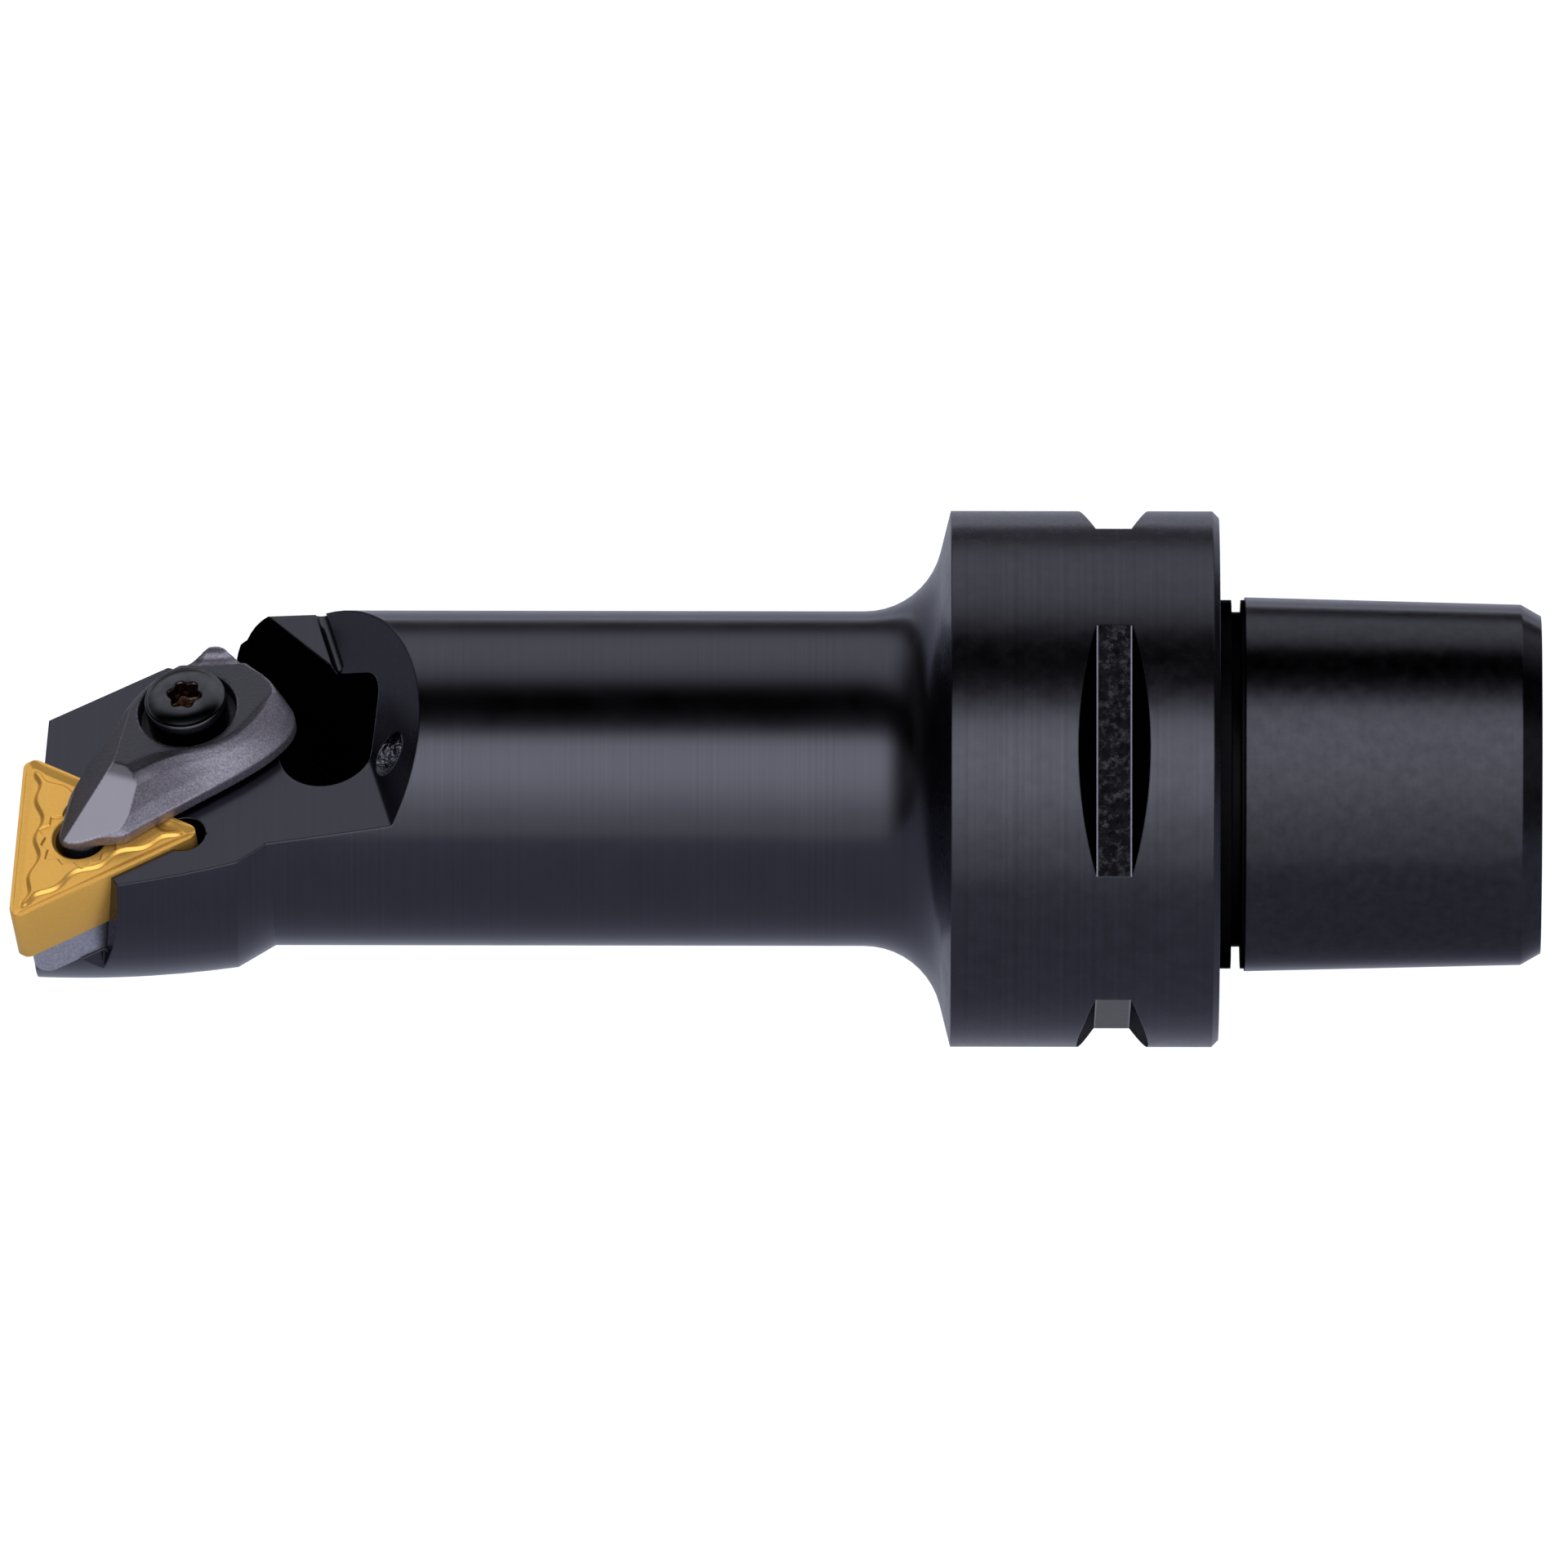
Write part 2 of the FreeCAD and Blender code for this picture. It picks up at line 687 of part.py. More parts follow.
def insert():
    blank = Part.Face(rounded_triangle(0.0, insert_nose_r, -insert_thickness))
    blank = blank.extrude(Vector(0, 0, insert_thickness))
    top = breaker_groove()
    middle = insert_centre + Vector(0, 0, -insert_thickness / 2.0)
    bottom = top.mirror(middle, Z_AXIS)
    blank = blank.cut(top).cut(bottom)
    hole_top = insert_centre
    hole = cylinder(insert_hole_d, insert_thickness, hole_top, -Z_AXIS)
    lead_d = insert_hole_d + 2.0 * insert_hole_lead
    lead = cone(lead_d, insert_hole_d, insert_hole_lead, hole_top, -Z_AXIS)
    far_lead = lead.mirror(middle, Z_AXIS)
    return moved(blank.cut(hole).cut(lead).cut(far_lead), seat)


def shim():
    top = insert_centre + Vector(0, 0, -insert_thickness)
    blank = Part.Face(rounded_triangle(shim_inset, shim_corner_r, seat_floor))
    blank = blank.extrude(Vector(0, 0, shim_thickness))
    hole = cylinder(shim_hole_d, shim_thickness, top, -Z_AXIS)
    sink_depth = (shim_screw_head_d - shim_hole_d) / 2.0
    sink = cylinder(shim_screw_head_d, shim_screw_recess, top, -Z_AXIS)
    sink_start = top - Vector(0, 0, shim_screw_recess)
    sink = sink.fuse(cone(shim_screw_head_d, shim_hole_d, sink_depth, sink_start, -Z_AXIS))
    return moved(blank.cut(hole).cut(sink), seat)


def hexagon_socket(width, depth, top):
    """Hexagonal driver socket going down from top."""
    corner_r = width / math.sqrt(3.0)
    corners = []
    for i in range(6):
        turn = math.pi * i / 3.0
        corners.append(top + Vector(math.cos(turn), math.sin(turn), 0) * corner_r)
    return Part.Face(Part.makePolygon(corners + [corners[0]])).extrude(Vector(0, 0, -depth))


def lobed_socket(across, lobe_r, depth, top):
    """Six-lobed driver socket going down from top."""
    lobe_ring = across / 2.0 - lobe_r
    socket = Part.makeCylinder(lobe_ring, depth, top, -Z_AXIS)
    for i in range(socket_lobes):
        turn = 2.0 * math.pi * i / socket_lobes
        place = top + Vector(math.cos(turn), math.sin(turn), 0) * lobe_ring
        socket = socket.fuse(Part.makeCylinder(lobe_r, depth, place, -Z_AXIS))
    return socket


def shim_screw():
    head_top = insert_centre + Vector(0, 0, -insert_thickness - shim_screw_recess)
    cone_depth = (shim_screw_head_d - shim_screw_d) / 2.0
    head = cone(shim_screw_head_d, shim_screw_d, cone_depth, head_top, -Z_AXIS)
    stem_length = head_top.z - seat_floor + shim_screw_end
    stem = cylinder(shim_screw_d, stem_length, head_top, -Z_AXIS)
    socket = hexagon_socket(shim_screw_socket_width, shim_screw_socket_depth, head_top)
    return moved(head.fuse(stem).cut(socket).removeSplitter(), seat)


def clamp_placement():
    """Clamp's own frame: origin on its screw axis, x towards the insert's hole."""
    screw_s, screw_t = clamp_screw_point
    way = Vector(insert_centre.x - screw_s, insert_centre.y - screw_t, 0)
    turn = math.degrees(math.atan2(way.y, way.x))
    rotation = FreeCAD.Rotation(Z_AXIS, turn)
    return FreeCAD.Placement(Vector(screw_s, screw_t, 0), rotation), way.Length


def clamp_section(height, inset_share):
    """Wire of the clamp at a height, between its base outline and its top outline."""
    points = []
    for base, top in zip(clamp_base_outline, clamp_top_outline):
        q = base[0] + (top[0] - base[0]) * inset_share
        l = base[1] + (top[1] - base[1]) * inset_share
        points.append((q, l))
    return smooth_loop(points, height)


def clamp():
    """Hooked top clamp: sloping flanks, nose facet, pin, rear foot and top groove."""
    place, nose_q = clamp_placement()
    rise = clamp_height - clamp_side_height
    wires = [clamp_section(0.0, 0.0)]
    for height_share, inset_share in clamp_shoulder_steps:
        wires.append(clamp_section(clamp_side_height + rise * height_share, inset_share))
    body = Part.makeLoft(wires, True, True).cut(nose_facet())
    hole_start = Vector(0, 0, -cut_over)
    hole = cylinder(clamp_hole_d, clamp_height + 2.0 * cut_over, hole_start, Z_AXIS)
    sink_start = Vector(0, 0, clamp_height - clamp_counterbore_depth)
    sink = cylinder(clamp_counterbore_d, clamp_counterbore_depth + cut_over, sink_start, Z_AXIS)
    body = body.cut(hole).cut(sink)
    pin_q = nose_q - (insert_hole_d - clamp_pin_d) / 2.0 + clamp_pin_gap
    pin_root = clamp_nose_height / 2.0
    pin = cylinder(clamp_pin_d, clamp_pin_length + pin_root, Vector(pin_q, 0, pin_root), -Z_AXIS)
    groove_start = Vector(clamp_groove_start_s, clamp_groove_t, clamp_height)
    groove = cylinder(2.0 * clamp_groove_r, reach, groove_start, X_AXIS)
    local = moved(body.fuse(pin), place).cut(groove)
    return moved(local.fuse(clamp_foot()), seat)


def nose_facet():
    """Space above the flat slope that runs down to the clamp's nose."""
    turn = math.radians(clamp_facet_turn)
    tip_q, tip_l = clamp_base_outline[0]
    tip = tip_q * math.cos(turn) + tip_l * math.sin(turn)
    slope = (clamp_height - clamp_nose_height) / (tip - clamp_facet_start)
    end = tip + cut_over
    corners = [
        Vector(clamp_facet_start, -reach, clamp_height),
        Vector(end, -reach, clamp_nose_height - slope * cut_over),
        Vector(end, -reach, clamp_height + cut_over),
        Vector(clamp_facet_start, -reach, clamp_height + cut_over),
    ]
    facet = Part.Face(Part.makePolygon(corners + [corners[0]]))
    space = facet.extrude(Vector(0, 2.0 * reach, 0))
    return space.rotated(Vector(0, 0, 0), Z_AXIS, clamp_facet_turn)


def clamp_foot():
    """Foot of the clamp in the recess, against the front of the screw's boss."""
    along, across = recess_sides()
    screw = Vector(clamp_screw_point[0], clamp_screw_point[1], 0)
    front = across * (screw_boss_width + clamp_foot_gap)
    back = across * (screw_boss_width + clamp_foot_gap + clamp_foot_thickness)
    half = along * (clamp_foot_width / 2.0)
    places = [screw + front - half, screw + front + half, screw + back + half, screw + back - half]
    outline = [(place.x, place.y) for place in places]
    return prism(outline, deck - clamp_foot_depth, clamp_side_height)


def clamp_screw():
    place, nose_q = clamp_placement()
    seat_height = clamp_height - clamp_counterbore_depth
    top = Vector(0, 0, seat_height + clamp_screw_head_height)
    chamfer = clamp_screw_head_chamfer
    rim = top - Vector(0, 0, chamfer)
    head = cylinder(clamp_screw_head_d, clamp_screw_head_height - chamfer, rim, -Z_AXIS)
    top_d = clamp_screw_head_d - 2.0 * chamfer
    head = head.fuse(cone(top_d, clamp_screw_head_d, chamfer, top, -Z_AXIS))
    stem = cylinder(clamp_screw_d, seat_height + clamp_screw_end, Vector(0, 0, seat_height), -Z_AXIS)
    socket = lobed_socket(socket_d, socket_lobe_r, socket_depth, top)
    screw = head.fuse(stem).cut(socket).removeSplitter()
    return moved(moved(screw, place), seat)


def clamp_spring():
    """Lifting spring between its pocket's floor and the clamp's underside."""
    place, nose_q = clamp_placement()
    low = deck - spring_pocket_depth
    length = -low - spring_wire_d
    helix = Part.makeHelix(length / spring_turns, length, spring_mean_d / 2.0)
    corners = []
    for i in range(spring_wire_sides + 1):
        turn = 2.0 * math.pi * i / spring_wire_sides
        out = spring_mean_d / 2.0 + math.cos(turn) * spring_wire_d / 2.0
        corners.append(Vector(out, 0, math.sin(turn) * spring_wire_d / 2.0))
    section = Part.makePolygon(corners)
    coil = Part.Wire(helix).makePipeShell([section], True, True)
    coil.translate(Vector(0, 0, low + spring_wire_d / 2.0))
    return moved(moved(coil, place), seat)


def coolant_jet():
    aim = coolant_direction()
    front = coolant_outlet_point - aim * jet_recess
    jet = cylinder(coolant_outlet_d, jet_length, front, aim * -1.0)
    bore = cylinder(jet_bore_d, jet_length, front, aim * -1.0)
    return jet.cut(bore)


os.makedirs("parts", exist_ok=True)
nodes = {
    "tool_body": tool_body(),
    "shim": shim(),
    "shim_screw": shim_screw(),
    "insert": insert(),
    "clamp": clamp(),
    "clamp_screw": clamp_screw(),
    "clamp_spring": clamp_spring(),
    "coolant_jet": coolant_jet(),
}
for name, shape in nodes.items():
    shape.exportStep("parts/" + name + ".step")
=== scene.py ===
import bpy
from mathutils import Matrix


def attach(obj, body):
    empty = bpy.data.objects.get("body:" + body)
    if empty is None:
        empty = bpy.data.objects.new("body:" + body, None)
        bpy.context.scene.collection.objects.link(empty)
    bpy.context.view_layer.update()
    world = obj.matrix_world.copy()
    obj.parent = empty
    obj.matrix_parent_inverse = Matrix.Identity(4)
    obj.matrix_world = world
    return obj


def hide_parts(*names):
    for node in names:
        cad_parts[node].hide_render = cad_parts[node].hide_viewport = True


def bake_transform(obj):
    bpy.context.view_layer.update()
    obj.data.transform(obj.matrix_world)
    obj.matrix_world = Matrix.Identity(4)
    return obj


bl_info = {
    "name": "Boring bar with a polygonal taper shank",
    "version": (1, 0, 0),
    "blender": (4, 5, 0),
    "location": "View3D > Sidebar > Boring bar",
    "description": "Dresses the machined solids of a boring bar and sets the studio round it",
    "category": "Add Mesh",
}

import math

import bmesh
import bpy
from mathutils import Euler, Matrix, Vector

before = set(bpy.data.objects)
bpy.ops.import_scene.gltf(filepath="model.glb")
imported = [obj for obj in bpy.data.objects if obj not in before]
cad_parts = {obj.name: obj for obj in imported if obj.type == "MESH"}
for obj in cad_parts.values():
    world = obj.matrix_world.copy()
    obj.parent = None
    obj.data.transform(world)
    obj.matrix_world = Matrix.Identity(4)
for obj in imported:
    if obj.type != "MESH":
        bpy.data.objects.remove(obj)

MM = 0.001

# Seat of the insert in the part's frame: its sharp cutting corner and three tilts
SEAT_CORNER = Vector((-90.08, -17.4, 0.0)) * MM
SEAT_AXIAL_TILT = math.radians(7.6)
SEAT_RADIAL_TILT = math.radians(10.5)
SEAT_LEAD = math.radians(5.0)

# Insert: inscribed circle, thickness, hole, corner and the hone of its cutting edge, in mm
INSERT_CIRCLE_R = 4.7625
INSERT_THICKNESS = 4.76
INSERT_HOLE_R = 1.905
INSERT_CORNER_R = 0.8
INSERT_HONE = 0.07
INSERT_CENTRE = Vector((INSERT_CIRCLE_R, INSERT_CIRCLE_R * math.sqrt(3.0), 0.0))
CLAMP_SCREW_POINT = Vector((12.5, 18.2))

# Recess behind the clamp, as its cutter's path in the seat's frame, and the coolant's way out
RECESS_PATH = ((22.75, 16.1), (22.95, 18.9), (2.95, 38.9))
RECESS_REACH = 3.56
RECESS_TOP = -0.35
CORNER_RELIEF = Vector((12.6, 8.25))
CORNER_RELIEF_R = 1.7
COOLANT_OUTLET = Vector((-61.3, -6.1, 7.3)) * MM
COOLANT_AIM = Vector((-88.0, -15.0, 1.0)) * MM
OUTLET_REACH = 1.45
OUTLET_STRETCH = (-7.0, 1.5)

# Stretches of the body along X from the gauge face, and radii that part its surfaces, in mm
NECK_END = 2.0
FACE_RIM = -0.3
FLANGE_START = -20.5
HEAD_START = -69.5
BORE_REACH = 12.0
BAR_REACH = 11.0
HEAD_REACH = 11.5

# The changer's slots in the flange: place, half widths of mouth and floor, reach, painted highlight
# line
SLOT_X = -7.9
SLOT_HALF_MOUTH = 3.2
SLOT_HALF_FLOOR = 1.325
SLOT_REACH = 19.9
SLOT_LINE = (0.13, 0.09)

# Nose facet of the clamp in the screw's frame: its normal, where it starts, and the crest on
# its far side as a point and its lean; beyond the crest the flank falls off, darkened by painted
# shade
CLAMP_HEIGHT = 2.5
CLAMP_COUNTERBORE_R = 3.68
CLAMP_FACET = Vector((0.2293, 0.0745, 0.9705))
CLAMP_FACET_START = 6.4
CLAMP_CREST = (8.25, -0.95, 0.139)
CLAMP_FLANK_SLOPE = 0.62
CLAMP_FLANK_FOOT = 0.45
FAR_FLANK_PAINTED_SHADE = 0.6


def seat_matrix():
    """Turns points in millimetres in the seat's frame into metres in the part's frame."""
    turn = Matrix.Rotation(-SEAT_AXIAL_TILT, 4, "Y")
    turn = turn @ Matrix.Rotation(SEAT_RADIAL_TILT, 4, "X")
    turn = turn @ Matrix.Rotation(-SEAT_LEAD, 4, "Z")
    return Matrix.Translation(SEAT_CORNER) @ turn @ Matrix.Scale(MM, 4)


def screw_matrix():
    """Frame of the clamp's screw: origin on its axis at the insert's top plane, x to the nose."""
    way = INSERT_CENTRE.xy - CLAMP_SCREW_POINT
    turn = Matrix.Rotation(math.atan2(way.y, way.x), 4, "Z")
    place = Matrix.Translation((CLAMP_SCREW_POINT.x, CLAMP_SCREW_POINT.y, 0.0))
    return seat_matrix() @ place @ turn


def linear(hex_colour):
    """An sRGB hex colour as linear RGBA."""
    channels = [int(hex_colour[i:i + 2], 16) / 255.0 for i in (1, 3, 5)]
    return tuple(
        c / 12.92 if c <= 0.04045 else ((c + 0.055) / 1.055) ** 2.4 for c in channels
    ) + (1.0,)


def scaled(colour, share):
    """A colour made lighter or darker, opaque."""
    return tuple(c * share for c in colour[:3]) + (1.0,)


def add_node(tree, kind, values=(), links=()):
    """Adds a node. A lower-case key in values is a setting, any other one an input."""
    made = tree.nodes.new(kind)
    for key, value in dict(values).items():
        if isinstance(key, str) and key[0].islower():
            setattr(made, key, value)
        else:
            made.inputs[key].default_value = value
    for key, socket in dict(links).items():
        tree.links.new(socket, made.inputs[key])
    return made


def empty_material(name):
    """A material with nothing but its output, and the shader that ends in it."""
    material = bpy.data.materials.new(name)
    material.use_nodes = True
    material.node_tree.nodes.clear()
    tree = material.node_tree
    output = add_node(tree, "ShaderNodeOutputMaterial")
    shader = add_node(tree, "ShaderNodeBsdfPrincipled")
    tree.links.new(shader.outputs[0], output.inputs["Surface"])
    return material, tree, shader


def blackened_steel(
    name, colour, roughness, line_pitch, line_strength, blotch_size, blotch, edge, rim="#EEEEF6"
):
    """Steel blackened by an oxide bath: no diffuse light to speak of, so it shows as a dark
    metal that mirrors the studio dimly, with blue-violet in its highlights. Tool marks run
    across X; the oxide is blotchy where the surface was handled or ground."""
    material, tree, shader = empty_material(name)
    place = add_node(tree, "ShaderNodeTexCoord")
    along = add_node(tree, "ShaderNodeSeparateXYZ", links={0: place.outputs["Object"]})
    # tool marks of uneven depth, as wide as the feed
    marks_at = add_node(
        tree, "ShaderNodeMath",
        {"operation": "MULTIPLY", 1: 1.0 / line_pitch},
        {0: along.outputs[0]},
    )
    marks = add_node(
        tree, "ShaderNodeTexNoise",
        {"noise_dimensions": "1D", "Scale": 1.0, "Detail": 1.0, "Roughness": 0.6},
        {"W": marks_at.outputs[0]},
    )
    blotches = add_node(
        tree, "ShaderNodeTexNoise",
        {"Scale": 1.0 / blotch_size, "Detail": 5.0, "Roughness": 0.62},
        {"Vector": place.outputs["Object"]},
    )
    stained = add_node(
        tree, "ShaderNodeMix",
        {"data_type": "RGBA", 6: scaled(colour, 1.0 - blotch), 7: scaled(colour, 1.0 + blotch)},
        {0: blotches.outputs[0]},
    )
    white = (1.0, 1.0, 1.0)
    lined = add_node(
        tree, "ShaderNodeMix",
        {
            "data_type": "RGBA",
            6: scaled(white, 1.0 - 0.5 * line_strength),
            7: scaled(white, 1.0 + 0.5 * line_strength),
        },
        {0: marks.outputs[0]},
    )
    both = add_node(
        tree, "ShaderNodeMix",
        {"data_type": "RGBA", "blend_type": "MULTIPLY", 0: 1.0},
        {6: stained.outputs[2], 7: lined.outputs[2]},
    )
    rough = add_node(
        tree, "ShaderNodeMapRange",
        {"From Min": 0.3, "From Max": 0.7, "To Min": roughness * 0.9, "To Max": roughness * 1.12},
        {"Value": blotches.outputs[0]},
    )
    soft_edge = add_node(tree, "ShaderNodeBevel", {"samples": 8, "Radius": edge})
    bump = add_node(
        tree, "ShaderNodeBump",
        {"Strength": 0.25, "Distance": line_pitch * 0.01},
        {"Height": marks.outputs[0], "Normal": soft_edge.outputs[0]},
    )
    tree.links.new(both.outputs[2], shader.inputs["Base Color"])
    tree.links.new(rough.outputs[0], shader.inputs["Roughness"])
    tree.links.new(bump.outputs[0], shader.inputs["Normal"])
    shader.inputs["Metallic"].default_value = 1.0
    # colour at grazing angles: nearly white on the outside, dark down in the recess as painted
    # shade
    shader.inputs["Specular Tint"].default_value = linear(rim)
    return material


def plain_metal(name, colour, roughness, grain, grain_depth, edge, metallic=1.0, mottle=0.18):
    """A metal with a fine even grain from how it was ground, sintered or drawn."""
    material, tree, shader = empty_material(name)
    place = add_node(tree, "ShaderNodeTexCoord")
    fine = add_node(
        tree, "ShaderNodeTexNoise",
        {"Scale": 1.0 / grain, "Detail": 3.0, "Roughness": 0.6},
        {"Vector": place.outputs["Object"]},
    )
    contrast = add_node(
        tree, "ShaderNodeMapRange", {"From Min": 0.3, "From Max": 0.7}, {"Value": fine.outputs[0]}
    )
    shade = add_node(
        tree, "ShaderNodeMix",
        {"data_type": "RGBA", 6: scaled(colour, 1.0 - mottle), 7: scaled(colour, 1.0 + mottle)},
        {0: contrast.outputs[0]},
    )
    soft_edge = add_node(tree, "ShaderNodeBevel", {"samples": 8, "Radius": edge})
    bump = add_node(
        tree, "ShaderNodeBump",
        {"Strength": 0.6, "Distance": grain_depth},
        {"Height": fine.outputs[0], "Normal": soft_edge.outputs[0]},
    )
    tree.links.new(shade.outputs[2], shader.inputs["Base Color"])
    tree.links.new(bump.outputs[0], shader.inputs["Normal"])
    shader.inputs["Roughness"].default_value = roughness
    shader.inputs["Metallic"].default_value = metallic
    return material


class BarFinish(bpy.types.PropertyGroup):
    """Sizes and colours of the finish that a user would change"""

    turning_pitch: bpy.props.FloatProperty(
        name="Turning feed", description="Spacing of the turning marks on bar and flange",
        default=0.00026, min=0.00005, max=0.002, precision=5, unit="LENGTH", subtype="DISTANCE",
    )
    milling_pitch: bpy.props.FloatProperty(
        name="Milling feed", description="Spacing of the cutter's marks on the head",
        default=0.0004, min=0.00005, max=0.002, precision=5, unit="LENGTH", subtype="DISTANCE",
    )
    edge_break: bpy.props.FloatProperty(
        name="Edge break", description="Radius of the broken edges",
        default=0.00022, min=0.0, max=0.001, precision=5, unit="LENGTH", subtype="DISTANCE",
    )
    oxide: bpy.props.FloatVectorProperty(
        name="Oxide", description="Colour of the blackened steel",
        size=4, subtype="COLOR", default=linear("#3D3D45"), min=0.0, max=1.0,
    )
    coating: bpy.props.FloatVectorProperty(
        name="Coating", description="Colour of the insert's coating",
        size=4, subtype="COLOR", default=linear("#E3B057"), min=0.0, max=1.0,
    )
    carbide: bpy.props.FloatVectorProperty(
        name="Carbide", description="Colour of the shim's ground carbide",
        size=4, subtype="COLOR", default=linear("#A2A2B0"), min=0.0, max=1.0,
    )
    sinter: bpy.props.FloatVectorProperty(
        name="Sintered steel", description="Colour of the clamp",
        size=4, subtype="COLOR", default=linear("#74717F"), min=0.0, max=1.0,
    )


class BarStudio(bpy.types.PropertyGroup):
    """Light and floor"""

    light: bpy.props.FloatProperty(
        name="Studio light", description="Radiance at the brightest place of the front softbox",
        default=2.65, min=0.0,
    )
    floor_drop: bpy.props.FloatProperty(
        name="Floor drop", description="Distance of the floor below the axis",
        default=0.3, min=0.03, unit="LENGTH", subtype="DISTANCE",
    )


def paint(node, *materials):
    """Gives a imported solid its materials, in slot order."""
    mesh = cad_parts[node].data
    mesh.materials.clear()
    for material in materials:
        mesh.materials.append(material)


def slot_floor_finish(deep, edge):
    """Nearly black scale with grey flecks 0.7 mm apart, and a painted highlight as a bright line
    along both sides.
    """
    material = plain_metal("scaled_steel", deep, 0.45, 0.0007, 0.00004, edge, 1.0, 0.5)
    tree = material.node_tree
    shader = tree.nodes["Principled BSDF"]
    shade = shader.inputs["Base Color"].links[0].from_socket
    place = add_node(tree, "ShaderNodeTexCoord")
    flecks = add_node(
        tree, "ShaderNodeTexNoise", {"Scale": 1500.0, "Detail": 6.0, "Roughness": 0.75},
        {"Vector": place.outputs["Object"]},
    )
    shown = add_node(
        tree, "ShaderNodeMapRange",
        {"From Min": 0.5, "From Max": 0.72},
        {"Value": flecks.outputs[0]},
    )
    along = add_node(tree, "ShaderNodeSeparateXYZ", links={0: place.outputs["Object"]})
    from_middle = add_node(
        tree, "ShaderNodeMath", {"operation": "ADD", 1: -SLOT_X * MM}, {0: along.outputs[0]}
    )
    aside = add_node(tree, "ShaderNodeMath", {"operation": "ABSOLUTE"}, {0: from_middle.outputs[0]})
    line_start, line_full = ((SLOT_HALF_FLOOR - inset) * MM for inset in SLOT_LINE)
    painted_edge_highlight = add_node(
        tree, "ShaderNodeMapRange",
        {"From Min": line_start, "From Max": line_full},
        {"Value": aside.outputs[0]},
    )
    # grey flecks, then the painted highlight along both edges of the floor
    for mask, colour in ((shown, "#34343A"), (painted_edge_highlight, "#6E6E7C")):
        shade = add_node(
            tree, "ShaderNodeMix",
            {"data_type": "RGBA", 7: linear(colour)},
            {0: mask.outputs[0], 6: shade},
        ).outputs[2]
    tree.links.new(shade, shader.inputs["Base Color"])
    return material


def distance_to_path(place, stops):
    """Distance of a point from a path in the XY plane."""
    best = None
    for first, last in zip(stops, stops[1:]):
        way = last - first
        share = min(1.0, max(0.0, (place - first).dot(way) / way.length_squared))
        gap = (place - first - way * share).length
        best = gap if best is None else min(best, gap)
    return best


def body_surface(face, to_seat, recess_path):
    """Name of the finish that a face of the body has."""
    centre = face.center
    radial = Vector((0.0, centre.y, centre.z))
    distance = radial.length / MM
    lean = face.normal.dot(radial.normalized()) if distance > 0.0 else 0.0
    x = centre.x / MM
    if x > 0.01 or (x > FACE_RIM and face.normal.x > 0.95):
        return "recess" if x < NECK_END else "ground"
    if x > FLANGE_START:
        if distance < BORE_REACH or lean < 0.0:
            return "recess"
        if abs(x - SLOT_X) < SLOT_HALF_MOUTH and distance < SLOT_REACH:
            return "slot floor" if abs(face.normal.x) < 0.1 else "recess"
        return "flange"
    aim = (COOLANT_AIM - COOLANT_OUTLET).normalized()
    from_outlet = centre - COOLANT_OUTLET
    past_outlet = from_outlet.dot(aim) / MM
    off_axis = (from_outlet - aim * from_outlet.dot(aim)).length / MM
    if off_axis < OUTLET_REACH and OUTLET_STRETCH[0] < past_outlet < OUTLET_STRETCH[1]:
        return "outlet"
    if lean > 0.8 and distance > (BAR_REACH if x > HEAD_START else HEAD_REACH):
        return "turned"
    place = to_seat @ centre
    if place.z < RECESS_TOP:
        off_path = distance_to_path(centre.xy / MM, recess_path)
        if face.normal.z > -0.05 and off_path < RECESS_REACH:
            return "recess"
        if (place.xy - CORNER_RELIEF).length < CORNER_RELIEF_R:
            return "recess"
    return "milled"


class BORINGBAR_OT_body(bpy.types.Operator):
    """Finish the tool body: turned, milled, ground and bored surfaces"""

    bl_idname = "boringbar.body"
    bl_label = "Finish the body"

    def execute(self, context):
        finish = context.scene.bar_finish
        oxide = tuple(finish.oxide)
        edge = finish.edge_break
        # painted shade: the oxide darkened to a tenth for the bores, recess and other hollows; also
        # the base colour of the slot floors
        deep = scaled(oxide, 0.09)
        finishes = {
            # fine-turned, then blackened: faint rings across the axis, satin sheen
            "turned": blackened_steel(
                "blackened_steel_turned", oxide, 0.22,
                finish.turning_pitch, 0.22, 0.004, 0.10, edge,
            ),
            # turned with a coarser feed and handled by the changer's gripper: stained, and darker
            # overall as painted shade
            "flange": blackened_steel(
                "blackened_steel_flange", scaled(oxide, 0.87), 0.26,
                finish.turning_pitch * 1.6, 0.34, 0.0013, 0.26, edge,
            ),
            # face-milled, then blackened: a little duller
            "milled": blackened_steel(
                "blackened_steel_milled", oxide, 0.26,
                finish.milling_pitch, 0.10, 0.003, 0.10, edge,
            ),
            # ground after blackening, so the oxide is thin and blotchy; darker overall as painted
            # shade
            "ground": blackened_steel(
                "blackened_steel_ground", scaled(oxide, 0.66), 0.22,
                finish.turning_pitch, 0.06, 0.0009, 0.40, edge,
            ),
            # cut deep and matt, with painted shade: the oxide darkened to a tenth and a dark
            # grazing colour
            "recess": blackened_steel(
                "blackened_steel_painted_shade", deep, 0.42,
                finish.milling_pitch, 0.10, 0.0006, 0.6, edge, "#3C3C46",
            ),
            # milled rough and scaled, with a painted highlight as a bright line along both edges
            "slot floor": slot_floor_finish(deep, edge),
            # drilled and torn at the way out of the coolant: small bright facets
            "outlet": plain_metal(
                "drilled_steel_torn", linear("#45454D"), 0.2, 0.0005, 0.0006, edge, 1.0, 0.9
            ),
        }
        paint("tool_body", *finishes.values())
        order = list(finishes)
        to_seat = seat_matrix().inverted()
        recess_path = [seat_matrix() @ Vector((s, t, -0.3)) for s, t in RECESS_PATH]
        recess_path = [place.xy / MM for place in recess_path]
        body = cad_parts["tool_body"]
        for face in body.data.polygons:
            face.material_index = order.index(body_surface(face, to_seat, recess_path))
        return {"FINISHED"}


